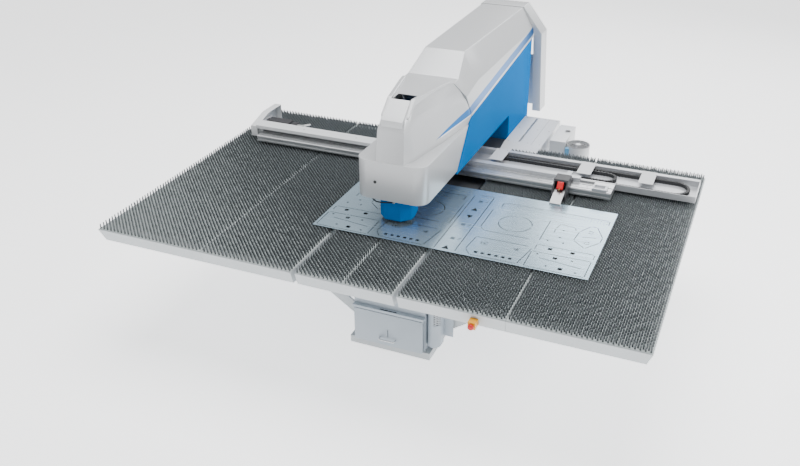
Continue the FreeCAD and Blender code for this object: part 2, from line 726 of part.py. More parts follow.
def joint_y(z):
    """Y of the slanted joint between the head cover and the arm cover."""
    slope = (JOINT_FOOT[0] - JOINT_TOP[0]) / (JOINT_FOOT[1] - JOINT_TOP[1])
    return JOINT_TOP[0] + slope * (z - JOINT_TOP[1])


def hood_section(y, z_shoulder, top_half, z_top, inset):
    """Cross-section of the arm cover at one place along the arm."""
    half = COVER_HALF - inset
    z_low = seam_z(y) - inset
    side = [(half, y, z_low), (half, y, z_shoulder), (top_half - inset, y, z_top - inset)]
    return side + [(-x, y, z) for x, y, z in reversed(side)]


def hood_block(inset):
    """The block of the arm cover: low shelf, sloping front panel, long straight top."""
    stations = [(JOINT_TOP[0] - 40, HOOD_LOW_SHOULDER, HOOD_SHELF_HALF, JOINT_TOP[1] + 2),
                (HOOD_SHELF, HOOD_LOW_SHOULDER, HOOD_SHELF_HALF, JOINT_TOP[1] + 4),
                (HOOD_BROW, HOOD_SHOULDER, HOOD_BROW_HALF, HOOD_TOP_FRONT),
                (HOOD_REAR, HOOD_SHOULDER, HOOD_REAR_HALF, HOOD_TOP_REAR)]
    parts = []
    for first, last in zip(stations, stations[1:]):
        parts.append(loft([hood_section(*first, inset), hood_section(*last, inset)]))
    tail = hood_section(*stations[-1], inset)
    run = REAR_LEAN[0][1] - HOOD_REAR
    parts.append(Part.Face(outline(tail)).extrude(Vector(0, run, 0)))
    return fused(parts)


def joint_cutter(y_shift, sign):
    """Everything in front of (sign -1) or behind (sign 1) the slanted cover joint."""
    far = joint_y(0) + sign * TABLE_DEPTH
    z_high = JOINT_TOP[1] + TABLE_DEPTH / 2
    wedge = [(joint_y(0) + y_shift, 0), (joint_y(z_high) + y_shift, z_high), (far, z_high), (far, 0)]
    return prism_x(wedge, -TABLE_HALF, TABLE_HALF)


def rear_lean_cutter():
    """Everything behind the leaning front edge of the rear cover."""
    edge = [(y - FOOT_GAP, z) for z, y in REAR_LEAN]
    back = edge[0][0] + TABLE_DEPTH
    first = (edge[0][0], 0)
    last = (edge[-1][0], edge[-1][1] + TABLE_DEPTH / 2)
    return prism_x([first] + edge + [last, (back, last[1]), (back, 0)], -TABLE_HALF, TABLE_HALF)


def arm_cover():
    """Long cover over the arm, open at the bottom and at both ends."""
    shell = hood_block(0).cut(hood_block(COVER_WALL))
    seam = [(HOOD_SHELF - TABLE_DEPTH, seam_z(HOOD_SHELF - TABLE_DEPTH) + FOOT_GAP),
            (FRAME_REAR + TABLE_DEPTH, seam_z(FRAME_REAR + TABLE_DEPTH) + FOOT_GAP),
            (FRAME_REAR + TABLE_DEPTH, 0), (HOOD_SHELF - TABLE_DEPTH, 0)]
    shell = shell.cut(joint_cutter(COVER_JOINT, -1)).cut(prism_x(seam, -TABLE_HALF, TABLE_HALF))
    return shell.cut(rear_lean_cutter())


def skirt_block(inset):
    """The deep lower part of the head cover, rounded in front."""
    half = SKIRT_HALF - inset
    front = SKIRT_FRONT + inset
    r = SKIRT_CORNER - inset
    block = box(-half, half, front, ARM_FRONT_HIGH, SKIRT_BOTTOM - inset, SKIRT_TOP - inset)
    corners = [e for e in block.Edges
               if abs(e.BoundBox.YMax - front) < 1e-3 and e.BoundBox.ZLength > 1
               and e.BoundBox.XLength < 1e-3]
    return block.makeFillet(r, corners)


def bonnet_section(z, rows, inset):
    """One level of the tapering upper part of the head cover."""
    rows = [(w - inset, y + (inset if i == 0 else 0), z) for i, (w, y) in enumerate(rows)]
    return [(-w, y, z) for w, y, z in reversed(rows)] + rows


def bonnet_block(inset):
    """The tapering upper part of the head cover, level by level."""
    parts = []
    for low, high in zip(BONNET_LEVELS, BONNET_LEVELS[1:]):
        z_low = low[0] - inset
        z_high = high[0] - inset
        parts.append(loft([bonnet_section(z_low, low[1], inset), bonnet_section(z_high, high[1], inset)]))
    return fused(parts)


def head_cover():
    """Front cover over the punching head: deep skirt, narrower bonnet and an inspection window."""
    outer = skirt_block(0).fuse(bonnet_block(0))
    inner = skirt_block(COVER_WALL).fuse(bonnet_block(COVER_WALL))
    window = box(-WINDOW_HALF, WINDOW_HALF, WINDOW_FRONT, WINDOW_REAR,
                 SKIRT_TOP + COVER_WALL, BONNET_LEVELS[-1][0] + 1)
    shell = outer.cut(inner).cut(window).cut(joint_cutter(0, 1))
    low_rear = prism_x([(ARM_FRONT_LOW - COVER_EDGE, 0), (ARM_FRONT_LOW - COVER_EDGE, ARM_UNDERSIDE),
                        (ARM_FRONT_HIGH - COVER_EDGE, ARM_TOP_FRONT + COVER_EDGE),
                        (FRAME_REAR, ARM_TOP_FRONT + COVER_EDGE),
                        (FRAME_REAR, 0)], -TABLE_HALF, TABLE_HALF)
    tab = box(NOSE_HALF, SKIRT_HALF - COVER_WALL, *COVER_TAB_Y, *COVER_TAB_Z)
    return fused([shell.cut(low_rear), tab, mirrored(tab)])


# --- punching head -----------------------------------------------------------------------------
def punch_cylinder():
    """Head block with the hydraulic cylinder and its valve block on top."""
    half = HEAD_BLOCK_HALF
    block = box(-half, half, -half, NOSE_FRONT, HEAD_BLOCK_BOTTOM, HEAD_BLOCK_TOP)
    barrel = rod(0, 0, HEAD_BLOCK_TOP, CYLINDER_TOP, CYLINDER_R)
    valve = box(-VALVE_BLOCK_HALF, VALVE_BLOCK_HALF, *VALVE_BLOCK_Y,
                CYLINDER_TOP, CYLINDER_TOP + VALVE_BLOCK_HEIGHT)
    bore = rod(0, 0, HEAD_BLOCK_BOTTOM - 1, CYLINDER_TOP - CYLINDER_HEAD, RAM_R + SHAFT_FIT)
    hub_bore = rod(0, 0, HEAD_BLOCK_BOTTOM - 1, HEAD_BLOCK_BOTTOM + TOOL_HUB_LENGTH + 2,
                   TOOL_HUB_R + SHAFT_FIT)
    return fused([block, barrel, valve]).cut(bore).cut(hub_bore)


def ram():
    """Ram with the punch on its end, drawn in its raised place."""
    punch_top = TOOL_HEAD_BOTTOM + PUNCH_LENGTH
    shank = rod(0, 0, punch_top, RAM_TOP, RAM_R)
    punch = rod(0, 0, RAM_TIP, punch_top, PUNCH_R)
    return fused([shank, punch])


def tool_head():
    """Turning multi-tool holder with its toothed pulley and bearing hub."""
    body = rod(0, 0, TOOL_HEAD_BOTTOM, PULLEY_TOP - TOOL_PULLEY_WIDTH, TOOL_HEAD_R)
    pulley = rod(0, 0, PULLEY_TOP - TOOL_PULLEY_WIDTH, PULLEY_TOP, TOOL_PULLEY_R)
    neck = rod(0, 0, PULLEY_TOP, HEAD_BLOCK_BOTTOM + TOOL_HUB_LENGTH, TOOL_HUB_R)
    ram_bore = rod(0, 0, TOOL_HEAD_BOTTOM + PUNCH_LENGTH - RAM_STROKE - 2,
                   HEAD_BLOCK_BOTTOM + TOOL_HUB_LENGTH + 1, RAM_R + SHAFT_FIT)
    punch_bore = rod(0, 0, TOOL_HEAD_BOTTOM - 1, TOOL_HEAD_BOTTOM + PUNCH_LENGTH, PUNCH_R + SHAFT_FIT)
    stations = [rod(TOOL_STATION_RADIUS * cos(a), TOOL_STATION_RADIUS * sin(a), TOOL_HEAD_BOTTOM - 1,
                    TOOL_HEAD_BOTTOM + TOOL_STATION_DEPTH, TOOL_STATION_R) for a in station_angles()]
    return fused([body, pulley, neck]).cut([ram_bore, punch_bore] + stations)


def station_angles():
    """Angles of the tool stations round the multi-tool."""
    return [2 * pi * i / TOOL_STATIONS for i in range(TOOL_STATIONS)]


def octagon(half, cut):
    """A square outline with its corners cut off."""
    return [(half, -half + cut), (half, half - cut), (half - cut, half), (-half + cut, half),
            (-half, half - cut), (-half, -half + cut), (-half + cut, -half), (half - cut, -half)]


def tool_guard():
    """Blue guard round the tool holder, hung from the head block, open behind for the belt."""
    outer = prism_z(octagon(GUARD_HALF, GUARD_CHAMFER), GUARD_BOTTOM, HEAD_BLOCK_BOTTOM)
    inner_half = GUARD_HALF - GUARD_WALL
    inner = prism_z(octagon(inner_half, GUARD_CHAMFER), GUARD_BOTTOM - 1, HEAD_BLOCK_BOTTOM + 1)
    belt_gap = box(-GUARD_BELT_GAP, GUARD_BELT_GAP, 0, GUARD_HALF + 1,
                   PULLEY_TOP - TOOL_PULLEY_WIDTH - 10, HEAD_BLOCK_BOTTOM + 1)
    slope = prism_x([(GUARD_HALF + 1, GUARD_BOTTOM - 1), (GUARD_HALF + 1, GUARD_BOTTOM + GUARD_RISE),
                     (0, GUARD_BOTTOM - 1)], -GUARD_HALF - 1, GUARD_HALF + 1)
    return outer.cut(inner).cut(belt_gap).cut(slope)


def die_head():
    """Turning die holder: barrel with the die, flange, and a spindle down into the lower arm."""
    flange_low = LOWER_ARM_TOP + FOOT_GAP
    flange_high = flange_low + DIE_FLANGE_THICK
    spindle_low = LOWER_ARM_TOP - FRAME_PLATE - SPINDLE_DROP
    barrel = rod(0, 0, flange_high, DIE_TOP, DIE_BARREL_R)
    flange = rod(0, 0, flange_low, flange_high, DIE_FLANGE_R)
    spindle = rod(0, 0, spindle_low, flange_low, DIE_SPINDLE_R)
    pulley = rod(0, 0, spindle_low, spindle_low + DIE_PULLEY_WIDTH, DIE_PULLEY_R)
    chute = rod(0, 0, spindle_low - 1, DIE_TOP + 1, DIE_BORE_R)
    return fused([barrel, flange, spindle, pulley]).cut(chute)


def belt(r_driven, z0):
    """A toothed belt from a pulley on the punch axis back to its motor pulley, just clear of both."""
    outer = []
    for slack in (FOOT_GAP + BELT_THICK, FOOT_GAP):
        big = rod(0, 0, z0, z0 + BELT_WIDTH, r_driven + slack)
        small = rod(0, INDEX_MOTOR_Y, z0, z0 + BELT_WIDTH, BELT_INNER_R + slack)
        tilt = (r_driven - BELT_INNER_R) / INDEX_MOTOR_Y
        lean = (1 - tilt * tilt) ** 0.5
        r_big = r_driven + slack
        r_small = BELT_INNER_R + slack
        side = [(r_big * lean, r_big * tilt), (r_small * lean, INDEX_MOTOR_Y + r_small * tilt)]
        web = prism_z(side + [(-x, y) for x, y in reversed(side)], z0, z0 + BELT_WIDTH)
        outer.append(big.fuse(small).fuse(web))
    return outer[0].cut(outer[1])


def upper_belt_z():
    """Lower edge of the upper index belt."""
    return PULLEY_TOP - (TOOL_PULLEY_WIDTH + BELT_WIDTH) / 2


def lower_belt_z():
    """Lower edge of the lower index belt."""
    return LOWER_ARM_TOP - FRAME_PLATE - SPINDLE_DROP + (DIE_PULLEY_WIDTH - BELT_WIDTH) / 2


def index_belts():
    """Both index belts."""
    return group([belt(TOOL_PULLEY_R, upper_belt_z()), belt(DIE_PULLEY_R, lower_belt_z())])


def motor_with_pulley(z_face, z_pulley, direction):
    """An index motor standing on a face, with its pulley at the belt's height."""
    y = INDEX_MOTOR_Y
    z_far = z_face + direction * INDEX_MOTOR_LENGTH
    body = rod(0, y, min(z_face, z_far), max(z_face, z_far), INDEX_MOTOR_R)
    pulley = rod(0, y, z_pulley, z_pulley + BELT_WIDTH, BELT_INNER_R)
    low = min(z_face, z_pulley)
    high = max(z_face, z_pulley)
    shaft = rod(0, y, low, high, MOTOR_SHAFT_R)
    return fused([body, shaft, pulley])


def index_motors():
    """The two motors that turn the tool holder and the die holder together."""
    upper = motor_with_pulley(NOSE_BOTTOM + FRAME_PLATE, upper_belt_z(), 1)
    lower = motor_with_pulley(LOWER_ARM_TOP - FRAME_PLATE, lower_belt_z(), -1)
    return group([upper, lower])


# --- bridge ------------------------------------------------------------------------------------
def bridge_beam():
    """Extruded aluminium beam of the bridge."""
    solid = box(BEAM_LEFT, BEAM_RIGHT, BEAM_FRONT, BEAM_REAR, BRIDGE_BOTTOM, BRIDGE_TOP)
    inner = box(BEAM_LEFT - 1, BEAM_RIGHT + 1, BEAM_FRONT + BEAM_SKIN, BEAM_REAR - BEAM_SKIN,
                BRIDGE_BOTTOM + BEAM_SKIN, BRIDGE_TOP - BEAM_SKIN)
    return solid.cut(inner)


def bridge_cover():
    """Flat hollow cover above the left part of the beam; the clamp carriage runs under it."""
    outer = box(COVER_LEFT, COVER_RIGHT, COVER_FRONT, COVER_REAR, COVER_BOTTOM, COVER_TOP)
    inner = box(COVER_LEFT - 1, COVER_RIGHT - COVER_SHEET, COVER_FRONT + COVER_SHEET,
                COVER_REAR - COVER_SHEET, COVER_BOTTOM + COVER_SHEET, COVER_TOP - COVER_SHEET)
    x0 = TRAY_LEFT + TRAY_WALL
    x1 = x0 + COVER_POST
    y1 = CHAIN_START_Y + COVER_POST
    over = box(x0, x1, COVER_REAR, y1, COVER_TOP - 2 * COVER_SHEET, COVER_TOP)
    post = box(x0, x1, CHAIN_START_Y, y1, BRIDGE_BOTTOM + TRAY_WALL, COVER_TOP)
    return fused([outer.cut(inner), over, post])


def cap_outline(inset):
    """The end cap seen from the side."""
    return [(CAP_FRONT + inset, BRIDGE_BOTTOM + inset), (CAP_FRONT + inset, CAP_LOW - inset),
            (CAP_RISE + inset, CAP_HIGH - inset), (CAP_REAR - inset, CAP_HIGH - inset),
            (CAP_REAR - inset, BRIDGE_BOTTOM + inset)]


def bridge_end_cap():
    """White cap that closes the left end of the bridge."""
    x0, x1 = CAP_X
    shell = prism_x(cap_outline(0), x0, x1).cut(prism_x(cap_outline(COVER_SHEET), x0 + COVER_SHEET, x1 + 1))
    return shell


def x_drive_plate():
    """Plate behind the beam that carries the X motor and the end cap."""
    plate = box(CAP_X[1], DRIVE_X[1], BEAM_REAR, DRIVE_REAR, BRIDGE_BOTTOM, BRIDGE_BOTTOM + DRIVE_PLATE)
    flange = box(CAP_X[1], CAP_X[1] + DRIVE_PLATE, BEAM_REAR, DRIVE_REAR, BRIDGE_BOTTOM, CAP_HIGH - 40)
    return fused([plate, flange])


def x_drive_motor():
    """Servo motor of the X axis, lying along the beam, with its encoder block."""
    z0 = BRIDGE_BOTTOM + DRIVE_PLATE
    x0 = CAP_X[1] + DRIVE_PLATE
    y_mid = (BEAM_REAR + DRIVE_REAR) / 2
    half = DRIVE_MOTOR_SIZE / 2
    body = box(x0 + MOTOR_FLANGE, DRIVE_X[1] - DRIVE_ENCODER, y_mid - half, y_mid + half,
               z0, z0 + DRIVE_MOTOR_SIZE)
    flange = rod_x(x0, x0 + MOTOR_FLANGE, y_mid, z0 + half, half)
    coder = box(DRIVE_X[1] - DRIVE_ENCODER, DRIVE_X[1], y_mid - half + 8, y_mid + half - 8,
                z0, z0 + DRIVE_MOTOR_SIZE - 12)
    return fused([body, flange, coder])


def bridge_hose():
    """White air hose that loops from the motor's coder block back to the bridge cover."""
    return bent_tube(BRIDGE_HOSE_ROUTE, HOSE_R)


def cable_tray():
    """Flat tray behind the beam that the drag chains lie in, with a shelf along the left part."""
    outer = box(TRAY_LEFT, TRAY_RIGHT, TRAY_FRONT, TRAY_REAR, BRIDGE_BOTTOM, TRAY_TOP)
    inner = box(TRAY_LEFT + TRAY_WALL, TRAY_RIGHT - TRAY_WALL, TRAY_FRONT + TRAY_WALL, TRAY_REAR - TRAY_RIM,
                BRIDGE_BOTTOM + TRAY_WALL, TRAY_TOP + 1)
    floor = BRIDGE_BOTTOM + TRAY_WALL
    shelf_rear = LANE_INNER[0] + CHAIN_WIDTH
    gate = box(TRAY_LEFT - 1, TRAY_LEFT + TRAY_WALL + 1, TRAY_FRONT - 1, shelf_rear, floor, TRAY_TOP + 1)
    shelf = box(DRIVE_X[1], TRAY_LEFT, TRAY_FRONT, shelf_rear, BRIDGE_BOTTOM, floor)
    return fused([outer.cut(inner).cut(gate), shelf])


def tray_plates():
    """Flat plates on the rear rim of the tray that reach forward over the chains."""
    half = PLATE_WIDTH / 2
    return group([box(x - half, x + half, PLATE_FRONT, TRAY_REAR, TRAY_TOP, TRAY_TOP + PLATE_THICK)
                  for x in PLATE_CENTRES])


def drag_chain(lanes, loop_end, moving_end):
    """A drag chain lying on its side: fixed rear run, half-round loop, moving front run."""
    front, rear = lanes
    middle = (front + rear) / 2
    radius = (rear - front) / 2
    x_loop = loop_end - radius - CHAIN_WIDTH / 2
    z0 = BRIDGE_BOTTOM + TRAY_WALL + 1
    z1 = z0 + CHAIN_HEIGHT
    half = CHAIN_WIDTH / 2
    fixed = box(CHAIN_START, x_loop, rear - half, rear + half, z0, z1)
    moving = box(moving_end, x_loop, front - half, front + half, z0, z1)
    ring = rod(x_loop, middle, z0, z1, radius + half).cut(rod(x_loop, middle, z0 - 1, z1 + 1, radius - half))
    loop = ring.common(box(x_loop, x_loop + 2 * radius, front - radius, rear + radius, z0, z1))
    return fused([fixed, loop, moving])


def drag_chain_long():
    return drag_chain(LANE_OUTER, LONG_LOOP_END, CLAMP_CENTRES[0])


def drag_chain_short():
    return drag_chain(LANE_INNER, SHORT_LOOP_END, CLAMP_CENTRES[1])


def x_rail():
    """Linear rail on the beam for the clamp carriage."""
    return box(BEAM_LEFT + 12, STOP_X[0] - 4, RAIL_Y - RAIL_WIDTH / 2, RAIL_Y + RAIL_WIDTH / 2,
               BRIDGE_TOP, BRIDGE_TOP + RAIL_HEIGHT)


def rail_stop():
    """Small end stop with a buffer recess at the right end of the beam."""
    block = box(*STOP_X, BEAM_FRONT, BEAM_FRONT + STOP_DEPTH, BRIDGE_TOP, BRIDGE_TOP + STOP_HEIGHT)
    recess = box(STOP_X[0] + 12, STOP_X[1] - 18, BEAM_FRONT + 14, BEAM_FRONT + STOP_DEPTH - 12,
                 BRIDGE_TOP + 6, BRIDGE_TOP + STOP_HEIGHT + 1)
    return block.cut(recess)


def saddle(sign):
    """Side plate of the bridge with its guide block, and the nut housing on the right."""
    x0 = SADDLE_INNER
    x1 = SADDLE_INNER + SADDLE_THICK
    y0 = SADDLE_Y - SADDLE_LENGTH / 2
    y1 = SADDLE_Y + SADDLE_LENGTH / 2
    plate = box(x0, x1, y0, y1, SADDLE_BOTTOM, BRIDGE_BOTTOM)
    reach = FRAME_HALF + GUIDE_SIZE / 3
    block = box(reach, x0, y0, y1, GUIDE_Z - GUIDE_SIZE, GUIDE_Z + GUIDE_SIZE)
    half = GUIDE_SIZE / 2 + FOOT_GAP
    groove = box(0, FRAME_HALF + 2 * half, y0 - 1, y1 + 1, GUIDE_Z - half, GUIDE_Z + half)
    whole = plate.fuse(block).cut(groove)
    if sign > 0:
        nut = box(SCREW_X - SCREW_BLOCK / 2, x0, SADDLE_Y - 60, SADDLE_Y + 60,
                  SCREW_Z - SCREW_BLOCK / 2, SCREW_Z + SCREW_BLOCK / 2)
        nut = nut.cut(rod_y(SCREW_X, y0, y1, SCREW_Z, SCREW_R + SHAFT_FIT))
        return whole.fuse(nut).removeSplitter()
    return mirrored(whole.removeSplitter())


def y_saddles():
    """Both side plates that carry the bridge through the slots in the table."""
    return group([saddle(1), saddle(-1)])


def y_rails():
    """Linear rails along both sides of the lower arm."""
    rail = box(FRAME_HALF, FRAME_HALF + GUIDE_SIZE, GUIDE_START, GUIDE_END,
               GUIDE_Z - GUIDE_SIZE / 2, GUIDE_Z + GUIDE_SIZE / 2)
    return group([rail, mirrored(rail)])


def y_screw():
    """Ball screw of the Y axis, held still between two blocks; its nut turns in the saddle."""
    shaft = rod_y(SCREW_X, GUIDE_START, GUIDE_END, SCREW_Z, SCREW_R)
    half = SCREW_BLOCK / 2
    blocks = [box(FRAME_HALF, SCREW_X + half, y, y + SCREW_BLOCK, SCREW_Z - half, SCREW_Z + half)
              for y in (GUIDE_START - SCREW_BLOCK, GUIDE_END)]
    return fused([shaft] + blocks)


# --- clamp carriage ----------------------------------------------------------------------------
def chain_arm(x, lane):
    """Strap from the carriage bar over the tray's edge down to the end of a drag chain."""
    x0 = x - CHAIN_ARM_HALF
    x1 = x + CHAIN_ARM_HALF
    y1 = lane + CHAIN_WIDTH / 4
    chain_top = BRIDGE_BOTTOM + TRAY_WALL + 1 + CHAIN_HEIGHT
    strap = box(x0, x1, BAR_REAR, y1, CHAIN_ARM_LOW, CHAIN_ARM_HIGH)
    return strap.fuse(box(x0, x1, y1 - CHAIN_WIDTH / 2, y1, chain_top + FOOT_GAP, CHAIN_ARM_HIGH))


def carriage_bar():
    """Bar that rides on the X rail, carries both clamps and pulls both drag chains."""
    bar = box(SHEET_CENTRE_X - BAR_HALF_LENGTH, SHEET_CENTRE_X + BAR_HALF_LENGTH, BAR_FRONT, BAR_REAR,
              BRIDGE_TOP + FOOT_GAP, BAR_TOP)
    half = RAIL_WIDTH / 2 + FOOT_GAP
    groove = box(-TABLE_HALF, TABLE_HALF, RAIL_Y - half, RAIL_Y + half,
                 BRIDGE_TOP, BRIDGE_TOP + RAIL_HEIGHT + FOOT_GAP)
    arms = [chain_arm(CLAMP_CENTRES[0], LANE_OUTER[0]), chain_arm(CLAMP_CENTRES[1], LANE_INNER[0])]
    return fused([bar.cut(groove)] + arms)


def clamp_body(x):
    """Clamp body: two ears, back wall, top plate, tongue to the carriage and fixed lower jaw."""
    half = CLAMP_HALF
    low = JAW_SEAT
    wall = BEAM_FRONT - 3
    side = [(CLAMP_FRONT, low), (wall, low), (wall, BRIDGE_TOP + 3), (BAR_FRONT, BRIDGE_TOP + 3),
            (BAR_FRONT, BAR_TOP), (CLAMP_REAR, BAR_TOP), (CLAMP_REAR, CLAMP_TOP),
            (CLAMP_REAR - CLAMP_FLAT, CLAMP_TOP), (CLAMP_FRONT, CLAMP_TOP - CLAMP_DROP)]
    block = prism_x(side, x - half, x + half)
    inner = half - CLAMP_EAR
    pocket = box(x - inner, x + inner, CLAMP_FRONT - 1, wall - CLAMP_EAR, low - 1, CLAMP_TOP - CLAMP_EAR)
    bore = rod_x(x - half - 1, x + half + 1, *JAW_PIVOT, JAW_PIN_R + SHAFT_FIT)
    lower = box(x - inner + 4, x + inner - 4, JAW_TIP, wall - CLAMP_EAR, low, SHEET_BOTTOM - JAW_GRIP_GAP)
    return fused([block.cut(pocket), lower]).cut(bore)


def clamp_bodies():
    """Both clamp bodies."""
    return group([clamp_body(x) for x in CLAMP_CENTRES])


def clamp_jaw(x):
    """Upper jaw with its hinge pin."""
    half = CLAMP_HALF - CLAMP_EAR - 3
    y_pin, z_pin = JAW_PIVOT
    grip = SHEET_TOP + JAW_GRIP_GAP
    side = [(JAW_TIP, grip), (JAW_TIP, grip + 9), (y_pin - 20, z_pin + 16), (y_pin + 14, z_pin + 16),
            (y_pin + 14, z_pin - 16), (y_pin - 70, z_pin - 34), (JAW_TIP + 46, grip)]
    plate = prism_x(side, x - half, x + half)
    pin = rod_x(x - CLAMP_HALF, x + CLAMP_HALF, y_pin, z_pin, JAW_PIN_R)
    return fused([plate, pin])


def clamp_jaw_left():
    return clamp_jaw(CLAMP_CENTRES[0])


def clamp_jaw_right():
    return clamp_jaw(CLAMP_CENTRES[1])


def work_sheet():
    """The sheet held in the clamps, with the hole last punched."""
    half = SHEET_LENGTH / 2
    sheet = box(SHEET_CENTRE_X - half, SHEET_CENTRE_X + half, SHEET_REAR - SHEET_WIDTH, SHEET_REAR,
                SHEET_BOTTOM, SHEET_TOP)
    return sheet.cut(rod(0, 0, SHEET_BOTTOM - 1, SHEET_TOP + 1, PUNCH_R + PUNCH_CLEARANCE))


# --- pedestal and drawer -----------------------------------------------------------------------
def drawer_housing():
    """Sheet casing round the front of the lower arm, with the drawer bay below."""
    half = HOUSING_HALF
    top = RIM_BOTTOM - 2
    case = box(-half, half, HOUSING_FRONT, HOUSING_REAR, BASE_THICK, top)
    w = HOUSING_WALL
    bay = box(-half + w, half - w, HOUSING_FRONT - 1, HOUSING_REAR - w, BASE_THICK - 1, LEDGE_BOTTOM)
    upper = box(-half + w, half - w, HOUSING_FRONT + w, HOUSING_REAR + 1, LEDGE_TOP, top + 1)
    ledge = box(-half, half, DRAWER_FRONT, HOUSING_FRONT, LEDGE_BOTTOM, LEDGE_TOP)
    slot = box(-SLUG_SLOT_HALF, SLUG_SLOT_HALF, DRAWER_FRONT + 10, DRAWER_FRONT + 22,
               LEDGE_BOTTOM - 1, LEDGE_TOP + 1)
    chute = box(-CHUTE_HALF, CHUTE_HALF, -CHUTE_HALF, CHUTE_HALF, LEDGE_BOTTOM - 1, LEDGE_TOP + 1)
    runners = [box(x0, x1, HOUSING_FRONT + 10, HOUSING_REAR - w, BASE_THICK, DRAWER_BOTTOM - FOOT_GAP)
               for x0, x1 in ((-half + w, -half + 60), (half - 60, half - w))]
    shell = fused([case.cut(bay).cut(upper), ledge] + runners + arm_pads())
    return shell.cut(slot).cut(chute)


def arm_pads():
    """Steel pads between the ceiling of the drawer bay and the lower arm."""
    reach = CENTRE_TUBE + ARM_PAD / 2
    return [box(x, x + ARM_PAD, y, y + ARM_PAD, LEDGE_TOP, LOWER_ARM_BOTTOM)
            for x in (-reach, reach - ARM_PAD) for y in ARM_PAD_ROWS]


def slug_drawer():
    """Open-topped drawer that catches the punched slugs, with an overlapping front."""
    w = DRAWER_SHEET
    half = DRAWER_HALF - 8
    y0 = HOUSING_FRONT - FOOT_GAP
    y1 = y0 + DRAWER_DEPTH - 12
    bin_top = LEDGE_BOTTOM - 20
    tub = box(-half, half, y0, y1, DRAWER_BOTTOM, bin_top)
    tub = tub.cut(box(-half + w, half - w, y0 - 1, y1 - w, DRAWER_BOTTOM + w, bin_top + 1))
    front = box(-DRAWER_HALF, DRAWER_HALF, DRAWER_FRONT, y0, DRAWER_BOTTOM, DRAWER_TOP)
    pocket = box(-DRAWER_HALF + w, DRAWER_HALF - w, DRAWER_FRONT + w, y0 + 1, DRAWER_BOTTOM - 1,
                 DRAWER_TOP - w)
    back = box(-DRAWER_HALF, DRAWER_HALF, y0 - w, y0, DRAWER_BOTTOM, bin_top)
    key = box(-3, 3, DRAWER_FRONT - 1, DRAWER_FRONT + w + 1, HANDLE_Z + 12, HANDLE_Z + 82)
    return fused([tub, front.cut(pocket).cut(key), back])


def drawer_handle():
    """Round bow handle on the drawer front."""
    y0 = DRAWER_FRONT
    y1 = DRAWER_FRONT - HANDLE_REACH
    half = HANDLE_SPAN / 2
    bend = 3 * HANDLE_R
    left = Vector(-half, y1, HANDLE_Z)
    right = Vector(half, y1, HANDLE_Z)
    feet = (Vector(-half, y0, HANDLE_Z), Vector(half, y0, HANDLE_Z))
    edges = [Part.LineSegment(feet[0], Vector(-half, y1 + bend, HANDLE_Z)).toShape()]
    edges.append(Part.Arc(Vector(-half, y1 + bend, HANDLE_Z),
                          left + Vector(bend * (1 - cos(pi / 4)), bend * (1 - sin(pi / 4)), 0),
                          Vector(-half + bend, y1, HANDLE_Z)).toShape())
    edges.append(Part.LineSegment(Vector(-half + bend, y1, HANDLE_Z),
                                  Vector(half - bend, y1, HANDLE_Z)).toShape())
    edges.append(Part.Arc(Vector(half - bend, y1, HANDLE_Z),
                          right + Vector(-bend * (1 - cos(pi / 4)), bend * (1 - sin(pi / 4)), 0),
                          Vector(half, y1 + bend, HANDLE_Z)).toShape())
    edges.append(Part.LineSegment(Vector(half, y1 + bend, HANDLE_Z), feet[1]).toShape())
    circle = Part.makeCircle(HANDLE_R, feet[0], Vector(0, -1, 0))
    return Part.Wire(edges).makePipeShell([Part.Wire([circle])], True, False)


def corner_column():
    """Rounded sheet column beside the pedestal, closed by a plate towards the rear."""
    half = COLUMN_R
    x0 = HOUSING_HALF + SIDE_CLEAR
    z1 = RIM_BOTTOM - 2
    tube = rod(COLUMN_X, COLUMN_Y, COLUMN_BOTTOM, z1, half)
    back = box(x0, COLUMN_X + half, COLUMN_Y, COLUMN_Y + COLUMN_BACK, COLUMN_BOTTOM, z1)
    w = HOUSING_WALL / 2
    hollow = rod(COLUMN_X, COLUMN_Y, COLUMN_BOTTOM - 1, z1 + 1, half - w)
    hollow_back = box(x0 + w, COLUMN_X + half - w, COLUMN_Y, COLUMN_Y + COLUMN_BACK - w,
                      COLUMN_BOTTOM - 1, z1 + 1)
    vent = box(COLUMN_X + 8, COLUMN_X + half + 1, COLUMN_Y - half, COLUMN_Y - 8, VENT_LOW, VENT_HIGH)
    return fused([tube, back]).cut(hollow.fuse(hollow_back)).cut(vent)


def vent_guard():
    """Curved guard plate behind the opening of the column."""
    r = COLUMN_R - HOUSING_WALL / 2
    ring = rod(COLUMN_X, COLUMN_Y, VENT_LOW - 8, VENT_HIGH + 8, r).cut(
        rod(COLUMN_X, COLUMN_Y, VENT_LOW - 9, VENT_HIGH + 9, r - 2))
    quarter = box(COLUMN_X + 3, COLUMN_X + r + 1, COLUMN_Y - r - 1, COLUMN_Y - 3, VENT_LOW - 8, VENT_HIGH + 8)
    return ring.common(quarter)


